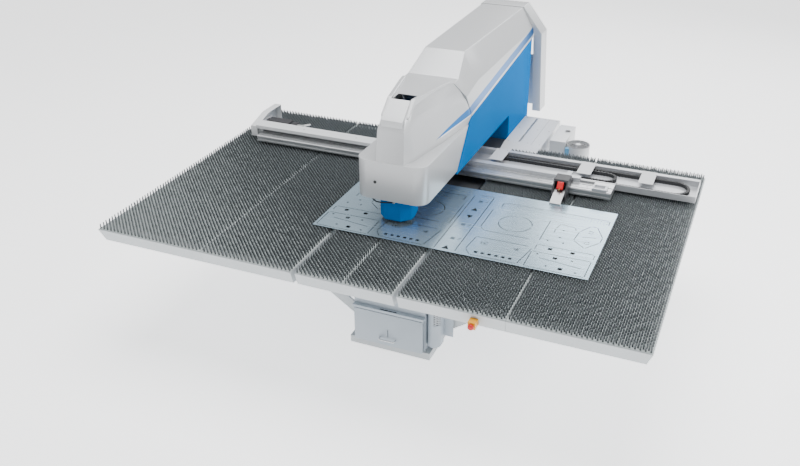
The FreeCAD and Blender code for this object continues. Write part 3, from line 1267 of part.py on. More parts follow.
def side_panels():
    """Folded side panels of the pedestal: a box section on the left, an angle on the right."""
    x0 = HOUSING_HALF + SIDE_CLEAR
    y0 = COLUMN_Y + COLUMN_BACK + 2
    z1 = RIM_BOTTOM - PANEL_DEPTH
    w = HOUSING_WALL / 2
    outer = box(-x0 - PANEL_DEPTH, -x0, y0, PANEL_REAR, PANEL_FLANGE_LOW, z1)
    inner = box(-x0 - PANEL_DEPTH + w, -x0 - w, y0 + w, PANEL_REAR - w, PANEL_FLANGE_LOW - 1, z1 + 1)
    gusset_y = beam_rows()[1]
    notch = box(-TABLE_HALF, TABLE_HALF, gusset_y - BRACKET_THICK, gusset_y + BRACKET_THICK,
                long_tube_foot() - GUSSET_HEIGHT - BRACKET_THICK, z1 + 1)
    plate = box(x0, SIDE_PLATE_X, y0, y0 + w, PANEL_LOW, z1)
    flange = box(x0, x0 + w, y0, PANEL_REAR, PANEL_FLANGE_LOW, z1)
    return group([outer.cut(inner).cut(notch), plate.fuse(flange).removeSplitter().cut(notch)])


# --- power pack, decks, emergency stop ---------------------------------------------------------
def hydraulic_tank():
    """Sheet-steel oil tank on the shelf of the base plate."""
    outer = box(*PACK_X, *PACK_Y, BASE_THICK, PACK_TOP)
    w = PACK_WALL
    inner = box(PACK_X[0] + w, PACK_X[1] - w, PACK_Y[0] + w, PACK_Y[1] - w, BASE_THICK + w, PACK_TOP - w)
    return outer.cut(inner)


def valve_box():
    """Tall narrow box on the tank, with the round filler cap on its lid."""
    outer = box(*VALVE_X, *VALVE_Y, PACK_TOP, VALVE_TOP)
    w = PACK_WALL
    inner = box(VALVE_X[0] + w, VALVE_X[1] - w, VALVE_Y[0] + w, VALVE_Y[1] - w, PACK_TOP - 1, VALVE_TOP - w)
    x, y = FILLER
    cap = rod(x, y, VALVE_TOP, VALVE_TOP + FILLER_RISE, FILLER_R)
    return group([outer.cut(inner), cap])


def pump_motor():
    """Upright pump motor with its fan cowl, open on top for the grille."""
    fan_low = PUMP_TOP - GRILLE_THICK - FAN_THICK - 10
    body = rod(PUMP_X, PUMP_Y, PACK_TOP, fan_low - 6, PUMP_R - 12)
    foot = rod(PUMP_X, PUMP_Y, PACK_TOP, PACK_TOP + 20, PUMP_R)
    cowl = rod(PUMP_X, PUMP_Y, fan_low - 60, PUMP_TOP - GRILLE_THICK, PUMP_R)
    hollow = rod(PUMP_X, PUMP_Y, fan_low - 6, PUMP_TOP + 1, PUMP_R - 5)
    bore = rod(PUMP_X, PUMP_Y, fan_low - 60, fan_low, FAN_SHAFT_R + SHAFT_FIT)
    return fused([body, foot, cowl]).cut(hollow).cut(bore)


def pump_fan():
    """Cooling fan on the motor shaft."""
    low = PUMP_TOP - GRILLE_THICK - FAN_THICK - 10
    hub = rod(PUMP_X, PUMP_Y, low, low + FAN_THICK, 26)
    shaft = rod(PUMP_X, PUMP_Y, low - 56, low, FAN_SHAFT_R)
    blades = []
    for i in range(FAN_BLADES):
        blade = box(PUMP_X + 20, PUMP_X + FAN_R, PUMP_Y - 3, PUMP_Y + 3, low + 2, low + FAN_THICK)
        blade.rotate(Vector(PUMP_X, PUMP_Y, 0), Vector(0, 0, 1), 360.0 * i / FAN_BLADES)
        blades.append(blade)
    return fused([hub, shaft] + blades)


def fan_grille():
    """Round grille on top of the fan cowl: rings joined by spokes."""
    z0 = PUMP_TOP - GRILLE_THICK
    plate = rod(PUMP_X, PUMP_Y, z0, PUMP_TOP, PUMP_R)
    slots = []
    for r in GRILLE_RINGS:
        slots.append(rod(PUMP_X, PUMP_Y, z0 - 1, PUMP_TOP + 1, r + GRILLE_SLOT).cut(
            rod(PUMP_X, PUMP_Y, z0 - 1, PUMP_TOP + 1, r)))
    spokes = [box(PUMP_X - 90, PUMP_X + 90, PUMP_Y - 3, PUMP_Y + 3, z0, PUMP_TOP),
              box(PUMP_X - 3, PUMP_X + 3, PUMP_Y - 90, PUMP_Y + 90, z0, PUMP_TOP)]
    return fused([plate.cut(slots)] + spokes)


def tube_clearance():
    """Room for the innermost long tube where it reaches back under the deck."""
    reach = BEAM_TUBE / 2 + FOOT_GAP
    z0 = long_tube_foot()
    return box(LONG_TUBE_INNER - reach, LONG_TUBE_INNER + reach, DECK_FRONT, TABLE_REAR,
               z0 - FOOT_GAP, z0 + BEAM_TUBE + FOOT_GAP)


def deck_right():
    """Folded sheet deck over the rear of the Y guide, with a ramp in front and a long slot."""
    top = [(DECK_FRONT, RIM_TOP - 3), (DECK_RAMP, DECK_TOP), (DECK_REAR, DECK_TOP),
           (DECK_REAR, DECK_LOW), (DECK_REAR - DECK_SHEET, DECK_LOW),
           (DECK_REAR - DECK_SHEET, DECK_TOP - DECK_SHEET), (DECK_RAMP, DECK_TOP - DECK_SHEET),
           (DECK_FRONT, RIM_TOP - 3 - DECK_SHEET)]
    sheet = prism_x(top, DECK_HALF_IN, DECK_HALF_OUT)
    side = box(DECK_HALF_OUT - DECK_SHEET, DECK_HALF_OUT, TABLE_REAR + 1, DECK_REAR, DECK_LOW, DECK_TOP)
    leg = box(DECK_HALF_IN, DECK_HALF_OUT, DECK_LEG_Y, DECK_LEG_Y + DECK_SHEET, DECK_LOW,
              DECK_TOP - DECK_SHEET)
    leg = leg.cut(tube_clearance())
    slot = box(*DECK_SLOT, *DECK_SLOT_Y, DECK_TOP - DECK_SHEET - 1, DECK_TOP + 1)
    return fused([sheet, side, leg]).cut(slot)


def rear_decks():
    return group([deck_right(), mirrored(deck_right())])


def estop_box():
    """Yellow box of the emergency stop, hung on the front rim."""
    half = ESTOP_SIZE / 2
    z0 = ESTOP_TOP - ESTOP_SIZE
    slope = RIM_UNDERCUT / RIM_HEIGHT
    y_top = TABLE_FRONT + slope * (RIM_TOP - ESTOP_TOP)
    y_low = TABLE_FRONT + slope * (RIM_TOP - z0)
    y0 = TABLE_FRONT - ESTOP_DEPTH
    side = [(y0, z0), (y0, ESTOP_TOP), (y_top, ESTOP_TOP), (y_low, z0)]
    block = prism_x(side, ESTOP_X - half, ESTOP_X + half)
    return block.cut(rod_y(ESTOP_X, y0 - 1, y0 + BUTTON_BORE, z0 + half, BUTTON_STEM_R + SHAFT_FIT))


def estop_button():
    """Red mushroom button with its stem, drawn released."""
    y0 = TABLE_FRONT - ESTOP_DEPTH
    z = ESTOP_TOP - ESTOP_SIZE / 2
    stem = rod_y(ESTOP_X, y0 - BUTTON_TRAVEL - 2, y0 + BUTTON_BORE - BUTTON_TRAVEL - 2, z, BUTTON_STEM_R)
    head = rod_y(ESTOP_X, y0 - BUTTON_TRAVEL - 2 - BUTTON_HEAD, y0 - BUTTON_TRAVEL - 2, z, MUSHROOM_R)
    rim = [e for e in head.Edges if abs(e.BoundBox.YMin - head.BoundBox.YMin) < 1e-3
           and e.BoundBox.YLength < 1e-3]
    return fused([head.makeFillet(BUTTON_HEAD * 0.6, rim), stem])


def head_hose():
    """Black air hose in a loop between the tool guard and the head block, with its end fittings."""
    x0, y0, z0 = HEAD_HOSE_ROUTE[0]
    x1, y1, z1 = HEAD_HOSE_ROUTE[-1]
    front = box(x0 - FITTING, x0 + FITTING, y0 - FITTING, -GUARD_HALF, z0 - FITTING, z0 + FITTING)
    side = box(x1 - FITTING, -HEAD_BLOCK_HALF, y1 - FITTING, y1 + FITTING, z1 - FITTING, z1 + FITTING)
    return fused([bent_tube(HEAD_HOSE_ROUTE, HOSE_R), front, side])


NODES = (table_tray_left_outer, table_tray_left_inner, table_tray_centre, table_tray_right_inner,
         table_tray_right_outer, brushes_left, brushes_centre, brushes_right, throat_plate,
         table_beams_left, table_beams_right, table_brackets, centre_table_arms, c_frame, base_plate,
         rear_cover, arm_cover, head_cover, punch_cylinder, ram, tool_head, tool_guard, die_head,
         index_belts, index_motors, head_hose, bridge_beam, bridge_cover, bridge_end_cap,
         x_drive_plate, x_drive_motor, bridge_hose, cable_tray, tray_plates, drag_chain_long,
         drag_chain_short, x_rail, rail_stop, y_saddles, y_rails, y_screw, carriage_bar, clamp_bodies,
         clamp_jaw_left, clamp_jaw_right, work_sheet, drawer_housing, slug_drawer, drawer_handle,
         corner_column, vent_guard, side_panels, hydraulic_tank, valve_box, pump_motor,
         pump_fan, fan_grille, rear_decks, estop_box, estop_button)

os.makedirs("parts", exist_ok=True)
for make in NODES:
    shape = make()
    shape.exportStep("parts/" + make.__name__ + ".step")
    print(make.__name__, len(shape.Solids), round(shape.Volume / 1e6, 3), shape.isValid())
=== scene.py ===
from math import atan2, cos, pi, sin
import bpy
import bmesh
from mathutils import Matrix, Vector


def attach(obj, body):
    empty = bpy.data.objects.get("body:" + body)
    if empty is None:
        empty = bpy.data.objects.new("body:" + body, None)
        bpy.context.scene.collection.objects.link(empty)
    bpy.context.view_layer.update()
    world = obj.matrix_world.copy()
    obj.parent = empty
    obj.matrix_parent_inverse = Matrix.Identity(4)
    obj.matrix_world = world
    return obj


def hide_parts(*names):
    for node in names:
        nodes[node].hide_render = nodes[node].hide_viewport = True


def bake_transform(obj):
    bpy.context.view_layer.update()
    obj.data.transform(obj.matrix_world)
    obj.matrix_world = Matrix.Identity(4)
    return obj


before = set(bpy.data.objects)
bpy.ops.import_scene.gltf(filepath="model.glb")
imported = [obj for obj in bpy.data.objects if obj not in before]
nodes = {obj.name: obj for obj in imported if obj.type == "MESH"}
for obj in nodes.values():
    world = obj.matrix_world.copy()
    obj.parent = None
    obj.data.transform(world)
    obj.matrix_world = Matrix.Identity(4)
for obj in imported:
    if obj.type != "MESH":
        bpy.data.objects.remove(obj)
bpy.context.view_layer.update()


# --- camera and studio ---------------------------------------------------------------------------
# The camera stands in front of the machine to its right, well above the table, and looks down
# at the head. Large soft lamps and a pale floor give an even studio light.
def camera_at(place, right, up, forward, lens):
    data = bpy.data.cameras.new("camera")
    data.lens = lens
    data.clip_end = 60
    camera = bpy.data.objects.new("camera", data)
    axes = Matrix([list(right), list(up), [-c for c in forward]]).transposed().to_4x4()
    camera.matrix_world = Matrix.Translation(place) @ axes
    bpy.context.collection.objects.link(camera)
    bpy.context.scene.camera = camera


camera_at((2.2842, -5.2476, 4.0471), (0.91875, 0.39476, -0.00769), (-0.18297, 0.44294, 0.87768),
          (-0.34988, 0.80496, -0.47918), 39.7)


def softbox(name, place, aim, size, watts, colour=(1, 1, 1)):
    data = bpy.data.lights.new(name, "AREA")
    data.shape = "RECTANGLE"
    data.size, data.size_y = size
    data.energy = watts
    data.color = colour
    lamp = bpy.data.objects.new(name, data)
    lamp.location = place
    lamp.rotation_euler = (Vector(aim) - Vector(place)).to_track_quat("-Z", "Y").to_euler()
    bpy.context.collection.objects.link(lamp)


softbox("key_lamp", (-5.0, -4.5, 6.5), (0, 0.4, 1), (4, 4), 110)
softbox("fill_lamp", (7.0, 0.8, 4.8), (0, 0.6, 1), (4, 3), 330)
softbox("top_lamp", (0, 1.0, 8.0), (0, 0.8, 1), (6, 6), 760)
softbox("rear_lamp", (2.0, 8.5, 5.0), (0, 1, 1), (6, 3), 300)

world = bpy.data.worlds.new("studio")
world.use_nodes = True
world.node_tree.nodes["Background"].inputs["Color"].default_value = (0.95, 0.97, 1.0, 1)
world.node_tree.nodes["Background"].inputs["Strength"].default_value = 0.58
bpy.context.scene.world = world


class Wire:
    """A value on its way through a finish; numbers combine with it by the usual signs."""

    def __init__(self, finish, socket):
        self.finish = finish
        self.socket = socket

    def maths(self, operation, *values):
        settings = {"operation": operation}
        return self.finish.add("ShaderNodeMath", settings, dict(enumerate(values)))

    def __add__(self, other):
        return self.maths("ADD", self, other)

    def __sub__(self, other):
        return self.maths("SUBTRACT", self, other)

    def __rsub__(self, other):
        return self.maths("SUBTRACT", other, self)

    def __mul__(self, other):
        return self.maths("MULTIPLY", self, other)

    def __gt__(self, other):
        return self.maths("GREATER_THAN", self, other)

    def __lt__(self, other):
        return self.maths("LESS_THAN", self, other)

    def __abs__(self):
        return self.maths("ABSOLUTE", self)

    def ramp(self, low, high, to_low=0.0, to_high=1.0):
        return self.finish.add("ShaderNodeMapRange", {"clamp": True},
                               {0: self, 1: low, 2: high, 3: to_low, 4: to_high})

    __radd__ = __add__
    __rmul__ = __mul__


class Finish:
    """A material under construction, with its object coordinates at hand."""

    def __init__(self, name, colour, roughness=0.5, metallic=0.0, **fixed):
        self.material = bpy.data.materials.new(name)
        self.material.use_nodes = True
        self.material.diffuse_color = (*colour, 1)
        self.tree = self.material.node_tree
        self.shader = self.tree.nodes["Principled BSDF"]
        self.shader.inputs["Base Color"].default_value = (*colour, 1)
        self.shader.inputs["Roughness"].default_value = roughness
        self.shader.inputs["Metallic"].default_value = metallic
        for key, value in fixed.items():
            self.shader.inputs[key.replace("_", " ").title().replace("Ior", "IOR")].default_value = value
        self.place = self.add("ShaderNodeTexCoord", {}, {}, "Object")

    def add(self, kind, settings, inputs, out=0):
        node = self.tree.nodes.new(kind)
        for key, value in settings.items():
            setattr(node, key, value)
        for key, value in inputs.items():
            if isinstance(value, Wire):
                self.tree.links.new(value.socket, node.inputs[key])
            else:
                node.inputs[key].default_value = value
        return Wire(self, node.outputs[out])

    def axes(self):
        split = self.add("ShaderNodeSeparateXYZ", {}, {0: self.place})
        outs = split.socket.node.outputs
        return [Wire(self, outs[i]) for i in range(3)]

    def grain(self, scale, stretch=(1, 1, 1), detail=3.0):
        spread = self.add("ShaderNodeMapping", {}, {"Vector": self.place, "Scale": stretch})
        return self.add("ShaderNodeTexNoise", {}, {"Vector": spread, "Scale": scale, "Detail": detail})

    def mix(self, mask, low, high):
        low = low if isinstance(low, Wire) else (*low, 1)
        high = high if isinstance(high, Wire) else (*high, 1)
        return self.add("ShaderNodeMix", {"data_type": "RGBA"}, {0: mask, 6: low, 7: high}, 2)

    def drive(self, name, value):
        self.tree.links.new(value.socket, self.shader.inputs[name])

    def bump(self, height, strength, distance):
        normal = self.add("ShaderNodeBump", {}, {"Height": height, "Strength": strength,
                                                 "Distance": distance}, "Normal")
        self.drive("Normal", normal)


def floor_finish():
    finish = Finish("pale_floor", (0.90, 0.905, 0.91), 0.6)
    cloud = finish.grain(0.6)
    finish.drive("Base Color", finish.mix(cloud, (0.90, 0.905, 0.915), (0.93, 0.935, 0.94)))
    finish.shader.inputs["Emission Color"].default_value = (1, 1, 1, 1)
    finish.shader.inputs["Emission Strength"].default_value = 1.5
    return finish.material


floor_mesh = bpy.data.meshes.new("floor")
floor_mesh.from_pydata([(-30, -30, 0), (30, -30, 0), (30, 30, 0), (-30, 30, 0)], [], [(0, 1, 2, 3)])
floor_mesh.materials.append(floor_finish())
floor = bpy.data.objects.new("floor", floor_mesh)
bpy.context.collection.objects.link(floor)


# --- table trays ---------------------------------------------------------------------------------
# Five folded sheet-steel trays with leaning front rims, powder coated in light grey. They are
# bolted to square tubes that slanting arms carry from the frame and the pedestal.
def powder_coat(name, colour, spread=0.06, roughness=0.42, peel=900.0):
    finish = Finish(name, colour, roughness)
    cloud = finish.grain(3.0)
    light = [min(1.0, c * (1 + spread)) for c in colour]
    dark = [c * (1 - spread) for c in colour]
    finish.drive("Base Color", finish.mix(cloud, dark, light))
    speckle = finish.grain(peel, detail=2.0)
    finish.drive("Roughness", speckle * 0.12 + (roughness - 0.06))
    finish.bump(speckle, 0.12, 0.0006)
    return finish


def dress(names, finish):
    for name in names:
        slots = nodes[name].data.materials
        slots.clear()
        slots.append(finish)


rim_grey = powder_coat("rim_grey", (0.50, 0.53, 0.545)).material
dress(["table_tray_left_outer", "table_tray_left_inner", "table_tray_centre", "table_tray_right_inner",
       "table_tray_right_outer", "table_beams_left", "table_beams_right", "table_brackets",
       "centre_table_arms"], rim_grey)


# --- brush panels --------------------------------------------------------------------------------
# Panels of black nylon tufts set in light plastic carriers cover the whole table. The sheet
# slides on the tufts; the panels are screwed to the trays in two rows.
PANEL_Z = 1.015
CARRIER = 0.005
TUFT_TOP = 1.0555
EDGE = 0.003
RIGHT_PANELS = [(1.102, 1.974, -0.936, -0.132), (1.102, 1.974, -0.128, 1.618),
                (0.386, 1.098, -0.936, -0.132), (0.386, 1.098, -0.128, 1.5455),
                (0.607, 1.098, 1.5475, 1.618)]
CENTRE_PANELS = [(-0.350, -0.002, -0.934, -0.132), (0.002, 0.350, -0.934, -0.132),
                 (-0.350, -0.002, -0.128, 0.616), (0.002, 0.350, -0.128, 0.616)]


def carrier_finish():
    finish = Finish("brush_carrier", (0.42, 0.46, 0.46), 0.5)
    dust = finish.grain(45.0)
    finish.drive("Base Color", finish.mix(dust, (0.36, 0.40, 0.40), (0.50, 0.545, 0.545)))
    finish.bump(finish.grain(300.0), 0.15, 0.0005)
    return finish.material


def tuft_finish():
    finish = Finish("nylon_tuft", (0.02, 0.022, 0.024), 0.6, specular_ior_level=0.35)
    # The colour ramps with height: painted shade low down between the tufts and painted light on their
    # tips, flecked at random.
    height = finish.axes()[2].ramp(PANEL_Z, TUFT_TOP)
    fleck = finish.grain(240.0)
    finish.drive("Base Color", finish.mix(height * fleck, (0.018, 0.021, 0.023), (0.30, 0.335, 0.345)))
    finish.bump(finish.grain(1400.0, (1, 1, 0.08)), 0.5, 0.0008)
    return finish.material


def box_faces(base):
    quads = [(0, 3, 2, 1), (4, 5, 6, 7), (0, 1, 5, 4), (1, 2, 6, 5), (2, 3, 7, 6), (3, 0, 4, 7)]
    return [tuple(base + i for i in q) for q in quads]


def box_points(x0, x1, y0, y1, z0, z1):
    return [(x, y, z) for z in (z0, z1) for x, y in ((x0, y0), (x1, y0), (x1, y1), (x0, y1))]


def new_piece(name, points, faces, finish, edges=()):
    mesh = bpy.data.meshes.new(name)
    mesh.from_pydata(points, edges, faces)
    mesh.materials.append(finish)
    piece = bpy.data.objects.new(name, mesh)
    bpy.context.collection.objects.link(piece)
    return piece


def boxes_piece(name, boxes, finish, bevel=0.0, segments=2):
    points, faces = [], []
    for limits in boxes:
        faces += box_faces(len(points))
        points += box_points(*limits)
    piece = new_piece(name, points, faces, finish)
    if bevel:
        soft = piece.modifiers.new("edges", "BEVEL")
        soft.width = bevel
        soft.segments = segments
        soft.limit_method = "ANGLE"
        apply_modifiers(piece)
    return piece


def apply_modifiers(piece):
    depsgraph = bpy.context.evaluated_depsgraph_get()
    mesh = bpy.data.meshes.new_from_object(piece.evaluated_get(depsgraph))
    old = piece.data
    piece.modifiers.clear()
    piece.data = mesh
    bpy.data.meshes.remove(old)


class Graph:
    """A geometry tree under construction."""

    def __init__(self, name):
        self.tree = bpy.data.node_groups.new(name, "GeometryNodeTree")
        self.tree.interface.new_socket("Geometry", in_out="INPUT", socket_type="NodeSocketGeometry")
        self.tree.interface.new_socket("Geometry", in_out="OUTPUT", socket_type="NodeSocketGeometry")
        self.entry = self.tree.nodes.new("NodeGroupInput")
        self.exit = self.tree.nodes.new("NodeGroupOutput")
        self.keys = {}

    def ask(self, name, kind, default):
        socket = self.tree.interface.new_socket(name, in_out="INPUT", socket_type="NodeSocket" + kind)
        socket.default_value = default
        self.keys[name] = socket.identifier

    def given(self, name):
        return self.entry.outputs[name]

    def add(self, kind, settings, inputs, out=0):
        node = self.tree.nodes.new("GeometryNode" + kind if "Node" not in kind else kind)
        for key, value in settings.items():
            setattr(node, key, value)
        for key, value in inputs.items():
            if isinstance(value, bpy.types.NodeSocket):
                self.tree.links.new(value, node.inputs[key])
            else:
                node.inputs[key].default_value = value
        return node.outputs[out]

    def maths(self, operation, a, b):
        return self.add("ShaderNodeMath", {"operation": operation}, {0: a, 1: b})

    def close(self, instances, finish):
        real = self.add("RealizeInstances", {}, {0: instances})
        done = self.add("SetMaterial", {}, {"Geometry": real, "Material": finish})
        self.tree.links.new(done, self.exit.inputs[0])

    def run(self, host, values):
        grower = host.modifiers.new("grower", "NODES")
        grower.node_group = self.tree
        for name, value in values.items():
            grower[self.keys[name]] = value
        apply_modifiers(host)
        return host


def tuft_graph(finish):
    """Staggered rows of tapered tufts over whatever flat panels the host mesh has."""
    graph = Graph("tufts")
    graph.ask("Length", "Float", 1.0)
    graph.ask("Depth", "Float", 1.0)
    graph.ask("Centre", "Vector", (0.0, 0.0, 0.0))
    graph.ask("Pitch X", "Float", 0.03)
    graph.ask("Pitch Y", "Float", 0.016)
    graph.ask("Tuft radius", "Float", 0.0065)
    graph.ask("Tuft height", "Float", 0.04)
    graph.ask("Clear radius", "Float", 0.0)
    counts = [graph.maths("DIVIDE", graph.given(a), graph.given(b))
              for a, b in (("Length", "Pitch X"), ("Depth", "Pitch Y"))]
    grid = graph.add("MeshGrid", {}, {"Size X": graph.given("Length"), "Size Y": graph.given("Depth"),
                                      "Vertices X": counts[0], "Vertices Y": counts[1]})
    row = graph.maths("MODULO", graph.add("InputIndex", {}, {}), graph.maths("FLOOR", counts[1], 0.0))
    shift = graph.maths("MULTIPLY", graph.maths("MODULO", row, 2.0), graph.given("Pitch X"))
    aside = graph.add("ShaderNodeCombineXYZ", {}, {"X": graph.maths("MULTIPLY", shift, 0.5)})
    staggered = graph.add("SetPosition", {}, {"Geometry": grid, "Offset": aside})
    placed = graph.add("Transform", {}, {"Geometry": staggered, "Translation": graph.given("Centre")})
    here = graph.add("InputPosition", {}, {})
    hit = graph.add("Raycast", {}, {"Target Geometry": graph.given("Geometry"), "Source Position": here,
                                    "Ray Direction": (0, 0, -1), "Ray Length": 1.0})
    reach = graph.add("ShaderNodeVectorMath", {"operation": "LENGTH"},
                      {0: graph.add("ShaderNodeVectorMath", {"operation": "MULTIPLY"},
                                    {0: here, 1: (1, 1, 0)})}, "Value")
    free = graph.add("FunctionNodeCompare", {"operation": "GREATER_THAN"},
                     {0: reach, 1: graph.given("Clear radius")})
    keep = graph.add("FunctionNodeBooleanMath", {"operation": "AND"}, {0: hit, 1: free})
    tuft = graph.add("MeshCone", {"fill_type": "NGON"},
                     {"Vertices": 5, "Radius Top": 0.0045, "Radius Bottom": graph.given("Tuft radius"),
                      "Depth": graph.given("Tuft height")})
    lean = graph.add("FunctionNodeRandomValue", {"data_type": "FLOAT_VECTOR"},
                     {0: (-0.07, -0.07, 0.0), 1: (0.07, 0.07, 6.28), "Seed": 7})
    turn = graph.add("FunctionNodeEulerToRotation", {}, {0: lean})
    sown = graph.add("InstanceOnPoints", {}, {"Points": placed, "Selection": keep, "Instance": tuft,
                                              "Rotation": turn})
    graph.close(sown, finish)
    return graph


tuft_black = tuft_finish()
carrier_grey = carrier_finish()
tufts = tuft_graph(tuft_black)


def brush_field(side, panels, clear):
    """The tufts and carriers of one table, standing for its solid panels."""
    points, faces = [], []
    for x0, x1, y0, y1 in panels:
        base = len(points)
        points += [(x0 + EDGE, y0 + EDGE, PANEL_Z), (x1 - EDGE, y0 + EDGE, PANEL_Z),
                   (x1 - EDGE, y1 - EDGE, PANEL_Z), (x0 + EDGE, y1 - EDGE, PANEL_Z)]
        faces.append((base, base + 1, base + 2, base + 3))
    field = new_piece("tufts_" + side, points, faces, tuft_black)
    x_low, x_high = min(p[0] for p in panels), max(p[1] for p in panels)
    y_low, y_high = min(p[2] for p in panels), max(p[3] for p in panels)
    tufts.run(field, {"Length": x_high - x_low - 0.02, "Depth": y_high - y_low - 0.02,
                      "Centre": ((x_low + x_high) / 2, (y_low + y_high) / 2, PANEL_Z + 0.002),
                      "Tuft height": TUFT_TOP - PANEL_Z - 0.002, "Clear radius": clear})
    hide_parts("brushes_" + side)
    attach(field, "machine")
    plates = [(x0, x1, y0, y1, PANEL_Z, PANEL_Z + CARRIER) for x0, x1, y0, y1 in panels]
    carriers = boxes_piece("brush_carriers_" + side, plates, carrier_grey, 0.0015)
    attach(carriers, "machine")
    return carriers


LEFT_PANELS = [(-x1, -x0, y0, y1) for x0, x1, y0, y1 in RIGHT_PANELS]
brush_field("right", RIGHT_PANELS, 0.0)
brush_field("left", LEFT_PANELS, 0.0)
brush_field("centre", CENTRE_PANELS, 0.088)


# --- frame ---------------------------------------------------------------------------------------
# The C frame is welded from thick steel plate and sprayed in a bright gloss blue; it stands on
# a grey base plate. A dark steel floor closes the throat under the arm.
def gloss_paint(name, colour, roughness=0.42):
    finish = powder_coat(name, colour, 0.04, roughness, 500.0)
    finish.shader.inputs["Coat Weight"].default_value = 0.02
    finish.shader.inputs["Coat Roughness"].default_value = 0.12
    finish.shader.inputs["Specular IOR Level"].default_value = 0.0
    return finish


BLUE = (0.0, 0.15, 0.44)
frame_blue = gloss_paint("frame_blue", BLUE).material
dress(["c_frame"], frame_blue)
dress(["base_plate"], rim_grey)
floor_dark = powder_coat("throat_dark", (0.05, 0.052, 0.055)).material
dress(["throat_plate"], floor_dark)


# --- covers --------------------------------------------------------------------------------------
# Head cover, arm cover and rear cowl are vacuum-formed and sprayed in a silver metallic. A blue
# stripe with a thin white line runs along their foot and ends in a tip on the head.
SILVER = (0.57, 0.58, 0.59)
SEAM = (0.764, 1.613, 2.446, 1.7786)


def silver_metallic(name):
    finish = Finish(name, SILVER, 0.34, 0.35)
    flake = finish.grain(2600.0, detail=1.0)
    cloud = finish.grain(1.6)
    silver = finish.mix(cloud, [c * 0.97 for c in SILVER], [c * 1.03 for c in SILVER])
    finish.drive("Roughness", flake * 0.10 + 0.30)
    finish.bump(flake, 0.05, 0.0003)
    return finish, silver


def plain_silver():
    finish, silver = silver_metallic("silver_metallic")
    finish.drive("Base Color", silver)
    return finish.material


def striped_silver():
    """Silver with the stripe; the line's height rises to the rear."""
    finish, silver = silver_metallic("striped_silver")
    x, y, z = finish.axes()
    slope = (SEAM[3] - SEAM[1]) / (SEAM[2] - SEAM[0])
    above = z - (y - SEAM[0]) * slope - SEAM[1]
    width = y.ramp(0.227, 0.76, 0.0, 0.074)
    lower = y.ramp(0.227, 0.76, 0.03, 0.0)
    side = abs(x) > 0.15
    line = (above > lower + 0.002) * (above < lower + 0.012) * side * (y > 0.3)
    stripe = (above > lower + 0.012) * (above < lower + width + 0.012) * side * (y > 0.227)
    painted = finish.mix(stripe, silver, BLUE)
    finish.drive("Metallic", stripe * 0.5 + 0.35)
    finish.drive("Base Color", finish.mix(line, painted, (0.85, 0.86, 0.87)))
    return finish.material


def softened(node, name, width, finish, body="machine", segments=4, angle=0.35):
    """The cover's formed shape: the CAD surface with its sharp edges rounded."""
    source = nodes[node].data
    work = bmesh.new()
    work.from_mesh(source)
    bmesh.ops.remove_doubles(work, verts=work.verts, dist=1e-5)
    bmesh.ops.dissolve_limit(work, angle_limit=0.01, verts=work.verts, edges=work.edges)
    mesh = bpy.data.meshes.new(name)
    work.to_mesh(mesh)
    work.free()
    mesh.materials.clear()
    mesh.materials.append(finish)
    piece = bpy.data.objects.new(name, mesh)
    bpy.context.collection.objects.link(piece)
    soft = piece.modifiers.new("edges", "BEVEL")
    soft.width = width
    soft.segments = segments
    soft.limit_method = "ANGLE"
    soft.angle_limit = angle
    soft.use_clamp_overlap = True
    soft.harden_normals = True
    mesh.shade_smooth()
    apply_modifiers(piece)
    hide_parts(node)
    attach(piece, body)
    return piece


silver = plain_silver()
striped = striped_silver()
softened("head_cover", "head_shell", 0.014, striped)
softened("arm_cover", "arm_shell", 0.014, striped)
softened("rear_cover", "rear_shell", 0.010, silver)


# --- head details --------------------------------------------------------------------------------
# A raised pad on the sloping front of the bonnet, a rounded ridge on either side of the inspection
# window, the cream solenoids that show through the window, and a key lock low on the skirt.
def loft_piece(name, sections, finish, bevel=0.0, segments=3):
    """Straight-sided shape through loops of points, one loop after another, closed at both ends."""
    size = len(sections[0])
    points = [p for loop in sections for p in loop]
    faces = [tuple(range(size)), tuple(reversed(range(len(points) - size, len(points))))]
    for k in range(len(sections) - 1):
        for i in range(size):
            a, b = k * size + i, k * size + (i + 1) % size
            faces.append((a, a + size, b + size, b))
    piece = new_piece(name, points, faces, finish)
    work = bmesh.new()
    work.from_mesh(piece.data)
    bmesh.ops.recalc_face_normals(work, faces=work.faces)
    work.to_mesh(piece.data)
    work.free()
    if bevel:
        soften_edges(piece, bevel, segments)
    return piece


def soften_edges(piece, width, segments, angle=0.35):
    soft = piece.modifiers.new("edges", "BEVEL")
    soft.width = width
    soft.segments = segments
    soft.limit_method = "ANGLE"
    soft.angle_limit = angle
    soft.harden_normals = True
    piece.data.shade_smooth()
    apply_modifiers(piece)


def settle(piece, body="machine"):
    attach(piece, body)
    return piece


def bar_loop(x, half, y, low, high):
    return [(x - half, y, low), (x + half, y, low), (x + half, y, high), (x - half, y, high)]


PAD = [(-0.126, 0.078, 1.800, 1.822), (-0.123, 0.080, 1.800, 1.846), (-0.098, 0.082, 1.812, 1.866),
       (0.034, 0.075, 1.900, 1.950)]
settle(loft_piece("bonnet_pad", [bar_loop(0, half, y, low, high) for y, half, low, high in PAD],
                  silver, 0.012, 4))

RIDGE = [(-0.070, 0.088, 1.845, 1.862), (0.050, 0.087, 1.90, 1.957), (0.380, 0.150, 1.90, 1.957),
         (0.516, 0.176, 1.90, 1.950)]
for side, sign in (("left", -1), ("right", 1)):
    loops = [bar_loop(sign * x, 0.016, y, low, high) for y, x, low, high in RIDGE]
    settle(loft_piece("bonnet_ridge_" + side, loops, silver, 0.012, 4))


